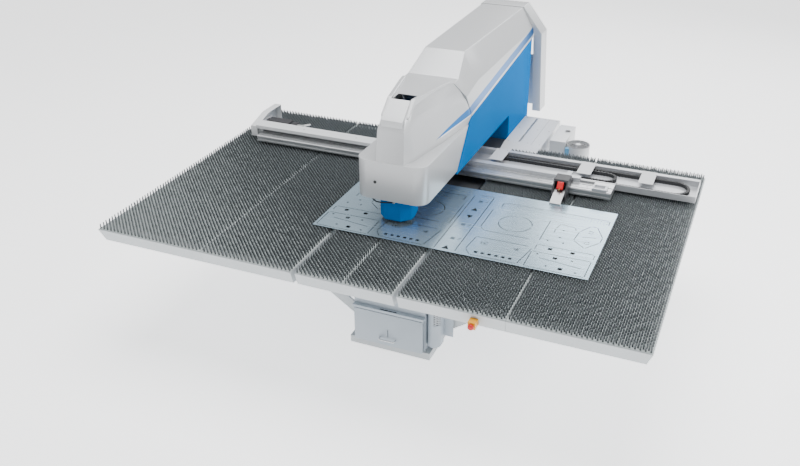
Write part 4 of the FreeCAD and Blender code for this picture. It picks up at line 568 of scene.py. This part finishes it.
def turned_piece(name, spots, radius, low, high, finish, count=24, bevel=0.0, axis="Z"):
    """Short cylinders with softened rims: upright at (X, Y) spots, or along Y at (X, Z) spots."""
    if axis == "Y":
        low, high = -high, -low
    points, faces = [], []
    for x, y in spots:
        base = len(points)
        for z in (low, high):
            points += [(x + radius * cos(2 * pi * i / count), y + radius * sin(2 * pi * i / count), z)
                       for i in range(count)]
        faces.append(tuple(base + i for i in reversed(range(count))))
        faces.append(tuple(base + count + i for i in range(count)))
        for i in range(count):
            j = (i + 1) % count
            faces.append((base + i, base + j, base + count + j, base + count + i))
    piece = new_piece(name, points, faces, finish)
    if axis == "Y":
        piece.data.transform(Matrix.Rotation(pi / 2, 4, "X"))
    if bevel:
        soften_edges(piece, bevel, 2, 0.6)
    return piece


cream = powder_coat("cream_plastic", (0.62, 0.56, 0.42), 0.08, 0.45).material
SOLENOIDS = [(-0.030, 0.080), (0.012, 0.084)]
PLUGS = [(-0.052, -0.010, 0.060, 0.100, 1.868, 1.888), (0.036, 0.054, 0.062, 0.104, 1.868, 1.905)]
settle(turned_piece("valve_solenoids", SOLENOIDS, 0.017, 1.868, 1.915, cream, 24, 0.003))
settle(boxes_piece("valve_plugs", PLUGS, cream, 0.002))


def black_plastic(name, shade=0.02, roughness=0.4):
    finish = powder_coat(name, (shade, shade, shade * 1.1), 0.2, roughness, 1200.0)
    return finish.material


trim_black = black_plastic("trim_black")
LOCK = (-0.110, 1.395)
settle(turned_piece("lock_face", [LOCK], 0.012, -0.1755, -0.1715, trim_black, 20, 0.001, "Y"))


# --- joint between the covers --------------------------------------------------------------------
# A narrow silver flange closes the front of the arm cover behind the open joint, so that only a
# thin dark line shows between head cover and arm cover.
JOINT_TOP = (0.550, 1.922)
JOINT_FOOT = (0.764, 1.613)
JOINT_SIDE = [(0.268, 1.613), (0.268, 1.800), (0.196, 1.920)]
JOINT_INSET = 0.004


def joint_loop(shift):
    """The arm cover's section in the plane of the slanted joint."""
    lean = (JOINT_FOOT[0] - JOINT_TOP[0]) / (JOINT_FOOT[1] - JOINT_TOP[1])
    side = [(x, JOINT_TOP[0] + lean * (z - JOINT_TOP[1]) + shift, z) for x, z in JOINT_SIDE]
    x, y, z = side[-1]
    side[-1] = (x, y, z - JOINT_INSET)
    return side + [(-x, y, z) for x, y, z in reversed(side)]


settle(loft_piece("joint_flange", [joint_loop(0.0050), joint_loop(0.0075)], silver))


# --- punching head -------------------------------------------------------------------------------
# The hydraulic cylinder and its block are cast and painted grey; tool holder and die holder are
# hardened steel, turned by toothed rubber belts from two black servo motors.
def brushed_metal(name, colour, roughness=0.3, stretch=(1, 1, 60), scale=90.0, metallic=0.9):
    finish = Finish(name, colour, roughness, metallic)
    lines = finish.grain(scale, stretch)
    cloud = finish.grain(5.0)
    dark = [c * 0.88 for c in colour]
    light = [min(1, c * 1.1) for c in colour]
    finish.drive("Base Color", finish.mix(cloud, dark, light))
    finish.drive("Roughness", lines * 0.22 + (roughness - 0.1))
    finish.bump(lines, 0.08, 0.0004)
    return finish.material


tool_steel = brushed_metal("tool_steel", (0.34, 0.345, 0.35), 0.32)
dress(["tool_head", "die_head", "ram", "y_rails", "y_screw", "x_rail"], tool_steel)
cast_grey = powder_coat("cast_grey", (0.22, 0.235, 0.25), 0.1, 0.5, 500.0).material
dress(["punch_cylinder", "y_saddles"], cast_grey)
rubber = black_plastic("rubber", 0.012, 0.65)
dress(["index_belts"], rubber)
motor_black = black_plastic("motor_black", 0.03, 0.45)
dress(["index_motors", "x_drive_motor", "pump_fan"], motor_black)
softened("tool_guard", "guard_shell", 0.012, frame_blue)


# --- air hoses -----------------------------------------------------------------------------------
# A black hose loops from a fitting on the front of the tool guard to the head block, and a white
# one from the X motor's coder block back to the bridge cover. Both are 10 mm across.
HOSE_R = 0.005
HEAD_ROUTE = [(0.022, -0.147, 1.246), (-0.020, -0.152, 1.240), (-0.075, -0.150, 1.230),
              (-0.128, -0.140, 1.226), (-0.168, -0.112, 1.240), (-0.180, -0.080, 1.275),
              (-0.170, -0.062, 1.310), (-0.140, -0.060, 1.325)]
BRIDGE_ROUTE = [(-1.445, 1.085, 1.158), (-1.395, 1.085, 1.158), (-1.340, 1.122, 1.170),
                (-1.314, 1.085, 1.177), (-1.350, 1.046, 1.178), (-1.350, 1.003, 1.178)]


def hose(name, node, route, finish, body):
    line = bpy.data.curves.new(name, "CURVE")
    line.dimensions = "3D"
    spline = line.splines.new("NURBS")
    spline.points.add(len(route) - 1)
    for point, place in zip(spline.points, route):
        point.co = (*place, 1)
    spline.order_u = 3
    spline.use_endpoint_u = True
    spline.resolution_u = 16
    line.bevel_depth = HOSE_R
    line.bevel_resolution = 4
    line.use_fill_caps = True
    line.materials.append(finish)
    cable = bpy.data.objects.new(name, line)
    bpy.context.collection.objects.link(cable)
    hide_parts(node)
    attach(cable, body)
    return cable


air_white = powder_coat("air_white", (0.66, 0.67, 0.66), 0.05, 0.4).material
hose("hose_head", "head_hose", HEAD_ROUTE, rubber, "machine")
hose("hose_bridge", "bridge_hose", BRIDGE_ROUTE, air_white, "bridge")
settle(boxes_piece("hose_fittings", [(0.014, 0.030, -0.155, -0.122, 1.238, 1.254),
                                     (-0.148, -0.125, -0.068, -0.052, 1.317, 1.333)], tool_steel, 0.003))


# --- bridge --------------------------------------------------------------------------------------
# An extruded aluminium beam with lengthwise grooves, a white sheet cover over its left half and a
# white end cap. Behind it lies a flat aluminium tray that holds the drag chains.
aluminium = brushed_metal("extruded_aluminium", (0.60, 0.61, 0.62), 0.33, (0.02, 1, 1), 160.0)
sheet_aluminium = brushed_metal("tray_aluminium", (0.60, 0.61, 0.63), 0.42, (0.05, 1, 1), 60.0, 0.55)
bridge_white = powder_coat("bridge_white", (0.70, 0.715, 0.72), 0.03, 0.38).material
plate_grey = powder_coat("plate_grey", (0.60, 0.61, 0.615), 0.03, 0.5).material
BEAM_PROFILE = [(0.815, 1.076), (0.815, 1.090), (0.822, 1.090), (0.822, 1.099), (0.815, 1.099),
                (0.815, 1.121), (0.820, 1.130), (0.838, 1.130), (0.838, 1.124), (0.846, 1.124),
                (0.846, 1.130), (0.896, 1.130), (0.896, 1.121), (0.908, 1.121), (0.908, 1.130),
                (0.984, 1.130), (0.984, 1.124), (0.992, 1.124), (0.992, 1.130), (1.003, 1.130),
                (1.003, 1.076)]
beam = loft_piece("beam_extrusion", [[(x, y, z) for y, z in BEAM_PROFILE] for x in (-1.700, 1.370)],
                  aluminium, 0.0012, 2)
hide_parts("bridge_beam")
settle(beam, "bridge")
softened("bridge_cover", "cover_left", 0.0025, bridge_white, body="bridge")
softened("bridge_end_cap", "end_cap", 0.0025, bridge_white, body="bridge")
dress(["cable_tray", "x_drive_plate", "rail_stop", "carriage_bar"], sheet_aluminium)
dress(["tray_plates"], plate_grey)
settle(boxes_piece("cover_seal", [(-1.745, -0.300, 0.986, 0.998, 1.1395, 1.1625)], trim_black, 0.001),
       "bridge")


# --- drag chains ---------------------------------------------------------------------------------
# Two black nylon drag chains lie on their side in the tray: a rear run, a half-round loop and a
# front run, baked in place as one still piece that is not attached to the carriage. Every link is a
# small body with a narrower waist.
CHAIN_Z = 1.095
LINK_PITCH = 0.024
CHAIN_START = 0.330


def link_graph(finish):
    """Links set along the host's edges, turned to follow them."""
    graph = Graph("links")
    graph.ask("Pitch", "Float", LINK_PITCH)
    line = graph.add("MeshToCurve", {}, {"Mesh": graph.given("Geometry")})
    spaced = graph.add("ResampleCurve", {"mode": "LENGTH"}, {"Curve": line, "Length": graph.given("Pitch")})
    heading = graph.add("InputTangent", {}, {})
    turn = graph.add("FunctionNodeAlignRotationToVector", {"axis": "X"}, {"Vector": heading})
    body = graph.add("MeshCube", {}, {"Size": (0.017, 0.020, 0.028)})
    waist = graph.add("MeshCube", {}, {"Size": (0.024, 0.013, 0.023)})
    link = graph.add("JoinGeometry", {}, {})
    for part in (body, waist):
        graph.tree.links.new(part, link.node.inputs[0])
    sown = graph.add("InstanceOnPoints", {}, {"Points": spaced, "Instance": link, "Rotation": turn})
    graph.close(sown, finish)
    return graph


def chain_path(front, rear, loop_end, moving_end):
    """The rear run, the half-round loop and the front run, as one row of points."""
    radius = (rear - front) / 2
    x_loop = loop_end - radius - 0.010
    path = [(CHAIN_START + 0.012, rear, CHAIN_Z)]
    for i in range(25):
        angle = pi / 2 - pi * i / 24
        path.append((x_loop + radius * cos(angle), (front + rear) / 2 + radius * sin(angle), CHAIN_Z))
    return path + [(moving_end + 0.012, front, CHAIN_Z)]


def drag_chain(name, node, front, rear, loop_end, moving_end):
    path = chain_path(front, rear, loop_end, moving_end)
    chain = new_piece(name, path, [], chain_black, [(i, i + 1) for i in range(len(path) - 1)])
    links.run(chain, {"Pitch": LINK_PITCH})
    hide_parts(node)
    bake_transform(chain)


chain_black = black_plastic("chain_black", 0.022, 0.5)
links = link_graph(chain_black)
drag_chain("chain_long", "drag_chain_long", 1.050, 1.260, 1.905, -0.064)
drag_chain("chain_short", "drag_chain_short", 1.082, 1.228, 1.352, 1.000)


# --- clamps --------------------------------------------------------------------------------------
# Two black clamp bodies with steel jaws ride on the carriage bar. Each has a red air cylinder with
# a brass tip between its ears.
clamp_black = black_plastic("clamp_black", 0.035, 0.42)
dress(["clamp_bodies"], clamp_black)
dress(["clamp_jaw_left", "clamp_jaw_right"], tool_steel)
clamp_red = powder_coat("clamp_red", (0.62, 0.012, 0.015), 0.08, 0.35).material
brass = brushed_metal("brass", (0.62, 0.44, 0.18), 0.28)
CLAMP_CENTRES = (-0.064, 1.000)
RED_SECTION = [(0.728, 1.134), (0.770, 1.134), (0.770, 1.186), (0.756, 1.186), (0.728, 1.146)]
for number, x in enumerate(CLAMP_CENTRES):
    loops = [[(x + half, y, z) for y, z in RED_SECTION] for half in (-0.024, 0.024)]
    settle(loft_piece("clamp_cylinder_%d" % number, loops, clamp_red, 0.003), "x_carriage")
    tip = turned_piece("clamp_tip_%d" % number, [(x, 1.1405)], 0.006, 0.712, 0.729, brass, 16, 0.001, "Y")
    settle(tip, "x_carriage")


# --- work sheet ----------------------------------------------------------------------------------
# A bright blue-grey steel sheet, 1.5 mm thick, already punched with a nest of parts: two circle
# panels, two groups of small parts and a strip between them. Slits stop short of each other, so
# every part still hangs on small bridges.
SHEET_Z = (1.062, 1.0635)
SHEET_BOX = (-0.5305, 1.4665, -0.354, 0.638)
SLIT = 0.0055


def sheet_steel():
    finish = Finish("sheet_steel", (0.56, 0.66, 0.73), 0.24, 0.75)
    roll = finish.grain(70.0, (0.05, 1, 1))
    cloud = finish.grain(2.2)
    finish.drive("Base Color", finish.mix(cloud, (0.36, 0.49, 0.58), (0.46, 0.59, 0.67)))
    finish.drive("Roughness", roll * 0.18 + 0.15)
    finish.bump(roll, 0.05, 0.0003)
    return finish.material


def ring_points(x, y, radius, first=0.0, last=2 * pi, count=20):
    return [(x + radius * cos(first + (last - first) * i / count),
             y + radius * sin(first + (last - first) * i / count)) for i in range(count + 1)]


def disc_hole(x, y, radius, count=12):
    return [ring_points(x, y, radius, count=count)[:-1]]


def slit(x0, y0, x1, y1):
    along = Vector((x1 - x0, y1 - y0)).normalized()
    across = Vector((-along.y, along.x)) * SLIT / 2
    return [[(x0 - across.x, y0 - across.y), (x1 - across.x, y1 - across.y),
             (x1 + across.x, y1 + across.y), (x0 + across.x, y0 + across.y)]]


def slit_chain(spots, gap=0.007):
    """Slits from spot to spot that stop short of every corner."""
    cuts = []
    for a, b in zip(spots, spots[1:]):
        start, end = Vector(a), Vector(b)
        back = (end - start).normalized() * gap
        cuts += slit(*(start + back), *(end - back))
    return cuts


def arc_slits(x, y, radius, parts=4, gap=0.10):
    cuts = []
    for k in range(parts):
        first = 2 * pi * k / parts + gap
        last = 2 * pi * (k + 1) / parts - gap
        outer = ring_points(x, y, radius + SLIT / 2, first, last)
        cuts.append(outer + ring_points(x, y, radius - SLIT / 2, last, first))
    return cuts


def square_hole(x, y, half):
    return [[(x - half, y - half), (x + half, y - half), (x + half, y + half), (x - half, y + half)]]


def triangle_hole(x, y, size, sign):
    return [[(x - size / 2, y - sign * size / 3), (x + size / 2, y - sign * size / 3),
             (x, y + sign * size * 2 / 3)]]


def slot_grid(x, y, count=4, length=0.030, pitch=0.009):
    cuts = []
    for i in range(count):
        row = y + (i - (count - 1) / 2) * pitch
        cuts += slit(x - length / 2, row, x + length / 2, row)
    return cuts


def circle_panel(x):
    """A panel with a large round cut-out above and a keypad plate below."""
    cuts = slit_chain([(x, 0.368), (x, 0.070), (x + 0.042, 0.030), (x + 0.374, 0.030)])
    cuts += slit_chain([(x + 0.439, 0.036), (x + 0.439, 0.359)])
    cuts += arc_slits(x + 0.216, 0.207, 0.120)
    cuts += slit_chain([(x + 0.400, -0.075), (x + 0.020, -0.075), (x + 0.005, -0.262),
                        (x + 0.053, -0.330), (x + 0.383, -0.330), (x + 0.425, -0.090)])
    for i in range(6):
        cuts += square_hole(x + 0.085 + 0.048 * i, -0.285, 0.012)
    for dx, radius in ((0.102, 0.024), (0.333, 0.016)):
        cuts += arc_slits(x + dx, -0.147, radius, 3, 0.3)
        cuts += disc_hole(x + dx, -0.147, 0.008)
    for dx in (0.03, 0.41):
        for y in (0.10, 0.32):
            cuts += disc_hole(x + dx, y, 0.004, 8)
    return cuts


def small_parts(x):
    """A bracket, an eight-sided plate and two covers, nested beside each other."""
    cuts = slit_chain([(x + 0.043, 0.180), (x + 0.043, 0.253), (x + 0.060, 0.327), (x + 0.167, 0.311),
                       (x + 0.185, 0.262)])
    cuts += slit_chain([(x + 0.207, 0.263), (x + 0.268, 0.372), (x + 0.312, 0.371), (x + 0.377, 0.232),
                        (x + 0.372, 0.153), (x + 0.291, 0.040), (x + 0.197, 0.126), (x + 0.207, 0.263)])
    cuts += slit_chain([(x + 0.245, 0.190), (x + 0.335, 0.215)], 0.0)
    cuts += arc_slits(x + 0.285, 0.280, 0.018, 2, 0.4) + arc_slits(x + 0.290, 0.120, 0.018, 2, 0.4)
    cuts += slit_chain([(x - 0.020, -0.090), (x - 0.020, -0.022), (x + 0.380, -0.022), (x + 0.380, -0.095)])
    cuts += slit_chain([(x - 0.030, -0.126), (x + 0.375, -0.120), (x + 0.375, -0.335), (x - 0.030, -0.335),
                        (x - 0.030, -0.126)])
    cuts += slit_chain([(x + 0.040, -0.195), (x + 0.330, -0.235)], 0.0)
    for dx, y in ((0.079, -0.056), (0.234, -0.056), (0.141, -0.166), (0.205, -0.290)):
        cuts += square_hole(x + dx, y, 0.015)
    for dx, y in ((0.015, -0.150), (0.255, -0.160), (0.110, -0.285), (0.310, -0.300), (0.100, 0.240),
                  (0.100, 0.130), (0.030, 0.060), (0.140, 0.060)):
        cuts += disc_hole(x + dx, y, 0.008)
    return cuts


def sheet_cuts():
    cuts = disc_hole(0, 0, 0.008, 20)
    for x in (-0.067, 0.600):
        cuts += circle_panel(x)
    for x in (-0.480, 1.062):
        cuts += small_parts(x)
    for low, high in ((-0.450, 0.330), (0.660, 1.425)):
        for row in (0.445, 0.478):
            for i in range(34):
                cuts += disc_hole(low + (high - low) * i / 33, row, 0.0042, 8)
        cuts += slit_chain([(low - 0.014, 0.425), (low - 0.014, 0.500), (high + 0.014, 0.500),
                            (high + 0.014, 0.425)])
    cuts += slit_chain([(0.400, -0.335), (0.400, 0.523)], 0.0) + slit_chain([(0.440, 0.552), (0.549, 0.552),
                                                                              (0.549, -0.335)])
    for y, sign in ((0.305, 1), (0.195, -1), (-0.306, 1)):
        cuts += triangle_hole(0.474, y, 0.050, sign)
    for y in (0.451, 0.055, -0.162):
        cuts += slot_grid(0.474, y)
        cuts += slit(0.512, y - 0.010, 0.530, y + 0.022)
    return cuts


def punched_sheet():
    """The sheet's outline and every cut-out as one flat filled curve, raised to its thickness."""
    flat = bpy.data.curves.new("punched_sheet", "CURVE")
    flat.dimensions = "2D"
    flat.fill_mode = "BOTH"
    flat.extrude = (SHEET_Z[1] - SHEET_Z[0]) / 2
    x0, x1, y0, y1 = SHEET_BOX
    for loop in [[(x0, y0), (x1, y0), (x1, y1), (x0, y1)]] + sheet_cuts():
        spline = flat.splines.new("POLY")
        spline.points.add(len(loop) - 1)
        for point, (x, y) in zip(spline.points, loop):
            point.co = (x, y, 0, 1)
        spline.use_cyclic_u = True
    host = bpy.data.objects.new("sheet_curve", flat)
    mesh = bpy.data.meshes.new_from_object(host)
    bpy.data.objects.remove(host)
    mesh.transform(Matrix.Translation((0, 0, sum(SHEET_Z) / 2)))
    mesh.materials.clear()
    mesh.materials.append(sheet_steel())
    piece = bpy.data.objects.new("punched_sheet", mesh)
    bpy.context.collection.objects.link(piece)
    return piece


work = punched_sheet()
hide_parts("work_sheet")
settle(work, "x_carriage")


# --- pedestal ------------------------------------------------------------------------------------
# Folded sheet casings, powder coated in a cool grey: drawer housing, slug drawer with a bow handle
# and a key slot, a rounded column with a perforated guard behind its opening, and side panels.
pedestal_grey = powder_coat("pedestal_grey", (0.40, 0.45, 0.50), 0.05, 0.4).material
dress(["corner_column", "side_panels"], pedestal_grey)


def housing_grey():
    """The same grey, with painted shade inside the slot in the ledge over the drawer."""
    finish = powder_coat("housing_grey", (0.40, 0.45, 0.50), 0.05, 0.4)
    x, y, z = finish.axes()
    slot = (abs(x) < 0.0705) * (y > -0.2325) * (y < -0.2195) * (z > 0.345) * (z < 0.371)
    cloud = finish.grain(3.0)
    paint = finish.mix(cloud, (0.38, 0.43, 0.48), (0.42, 0.47, 0.52))
    finish.drive("Base Color", finish.mix(slot, paint, (0.01, 0.011, 0.012)))
    return finish.material


dress(["drawer_housing"], housing_grey())
dress(["drawer_handle"], brushed_metal("handle_chrome", (0.66, 0.67, 0.68), 0.2))
softened("slug_drawer", "drawer_shell", 0.0015, pedestal_grey, body="drawer")


def perforated():
    """Round holes in staggered rows over the guard plate, painted near-black as the shade seen through
    them.
    """
    finish = powder_coat("perforated_guard", (0.40, 0.43, 0.46))
    x, y, z = finish.axes()
    step = 2 * pi / 0.016
    rows = (z * step).maths("SINE", z * step)
    along = ((x - y) * 0.7 * step).maths("SINE", (x - y) * 0.7 * step)
    holes = (rows * along) > 0.30
    finish.drive("Base Color", finish.mix(holes, (0.40, 0.43, 0.46), (0.015, 0.016, 0.018)))
    return finish.material


dress(["vent_guard"], perforated())


# --- power pack ----------------------------------------------------------------------------------
# An oil tank in grey, a tall white valve box with a dark filler cap, and an upright pump motor with
# a silver cowl, a round grille and a light blue terminal box.
pack_white = powder_coat("pack_white", (0.70, 0.71, 0.715), 0.03, 0.4).material
dress(["hydraulic_tank"], pedestal_grey)
softened("valve_box", "valve_shell", 0.003, pack_white)
softened("pump_motor", "motor_cowl", 0.004, pack_white)
dress(["fan_grille"], powder_coat("grille_grey", (0.20, 0.205, 0.21), 0.1, 0.5).material)
settle(turned_piece("filler_cap_top", [(0.770, 1.945)], 0.023, 1.1155, 1.1185, trim_black, 28, 0.001))
light_blue = powder_coat("terminal_blue", (0.16, 0.42, 0.66), 0.05, 0.35).material
settle(boxes_piece("terminal_box", [(0.811, 0.845, 1.684, 1.716, 1.000, 1.066)], light_blue, 0.004))
settle(turned_piece("motor_hub_cap", [(0.905, 1.772)], 0.020, 1.0815, 1.0845, pack_white, 24, 0.001))


# --- rear decks ----------------------------------------------------------------------------------
# White folded decks over the rear end of the Y guides, with a ramp in front, a long slot and two
# thin seams between their plates.
def deck_white():
    finish = powder_coat("deck_white", (0.70, 0.71, 0.72), 0.03, 0.4)
    x, y, z = finish.axes()
    side = abs(x)
    seam = (side > 0.5065) * (side < 0.5090) * (y > 1.70)
    cloud = finish.grain(3.0)
    paint = finish.mix(cloud, (0.68, 0.69, 0.70), (0.72, 0.73, 0.74))
    finish.drive("Base Color", finish.mix(seam, paint, (0.16, 0.165, 0.17)))
    return finish.material


softened("rear_decks", "deck_plates", 0.0015, deck_white())


# --- emergency stop ------------------------------------------------------------------------------
# A yellow plastic box on the front rim with a red mushroom button.
softened("estop_box", "stop_box", 0.003, powder_coat("stop_yellow", (0.75, 0.33, 0.0), 0.05, 0.35).material)
dress(["estop_button"], powder_coat("stop_red", (0.52, 0.0, 0.0), 0.05, 0.3).material)


# --- screws --------------------------------------------------------------------------------------
# Small zinc-plated screw heads hold covers, decks and panels.
def screw_graph(finish):
    """A flat screw head on every point of the host."""
    graph = Graph("screws")
    graph.ask("Radius", "Float", 0.005)
    graph.ask("Rise", "Float", 0.002)
    graph.ask("Turn", "Vector", (0.0, 0.0, 0.0))
    head = graph.add("MeshCylinder", {}, {"Vertices": 14, "Radius": graph.given("Radius"),
                                          "Depth": graph.given("Rise")})
    turn = graph.add("FunctionNodeEulerToRotation", {}, {0: graph.given("Turn")})
    sown = graph.add("InstanceOnPoints", {}, {"Points": graph.given("Geometry"), "Instance": head,
                                              "Rotation": turn})
    graph.close(sown, finish)
    return graph


zinc = brushed_metal("zinc", (0.45, 0.45, 0.46), 0.35)
screws = screw_graph(zinc)
FACE_UP = (0.0, 0.0, 0.0)
FACE_FRONT = (pi / 2, 0.0, 0.0)


def screw_row(name, spots, radius, turn, body="machine"):
    row = new_piece(name, spots, [], zinc)
    screws.run(row, {"Radius": radius, "Rise": 0.002, "Turn": turn})
    return settle(row, body)


screw_row("deck_screws", [(s * x, y, 1.0405) for s in (-1, 1) for x in (0.300, 0.470, 0.575)
                          for y in (1.730, 2.060, 2.330)], 0.006, FACE_UP)
screw_row("cover_screws", [(x, y, 1.1925) for x, y in ((-1.30, 0.942), (-0.80, 0.942), (-0.35, 0.942))],
          0.006, FACE_UP, body="bridge")
screw_row("panel_screws", [(0.452, -0.0885, z) for z in (0.20, 0.33, 0.55, 0.80)], 0.006, FACE_FRONT)
screw_row("housing_screws", [(s * 0.272, -0.2055, z) for s in (-1, 1) for z in (0.42, 0.62, 0.86)],
          0.006, FACE_FRONT)
screw_row("beam_screws", [(x, 0.870, 1.1305) for x in (-0.2, 0.35, 0.8, 1.18)], 0.008, FACE_UP,
          body="bridge")
screw_row("tray_plate_screws", [(x + dx, 1.312, 1.1295) for x in (0.378, 1.098, 1.577)
                                for dx in (-0.035, 0.035)], 0.005, FACE_UP, body="bridge")
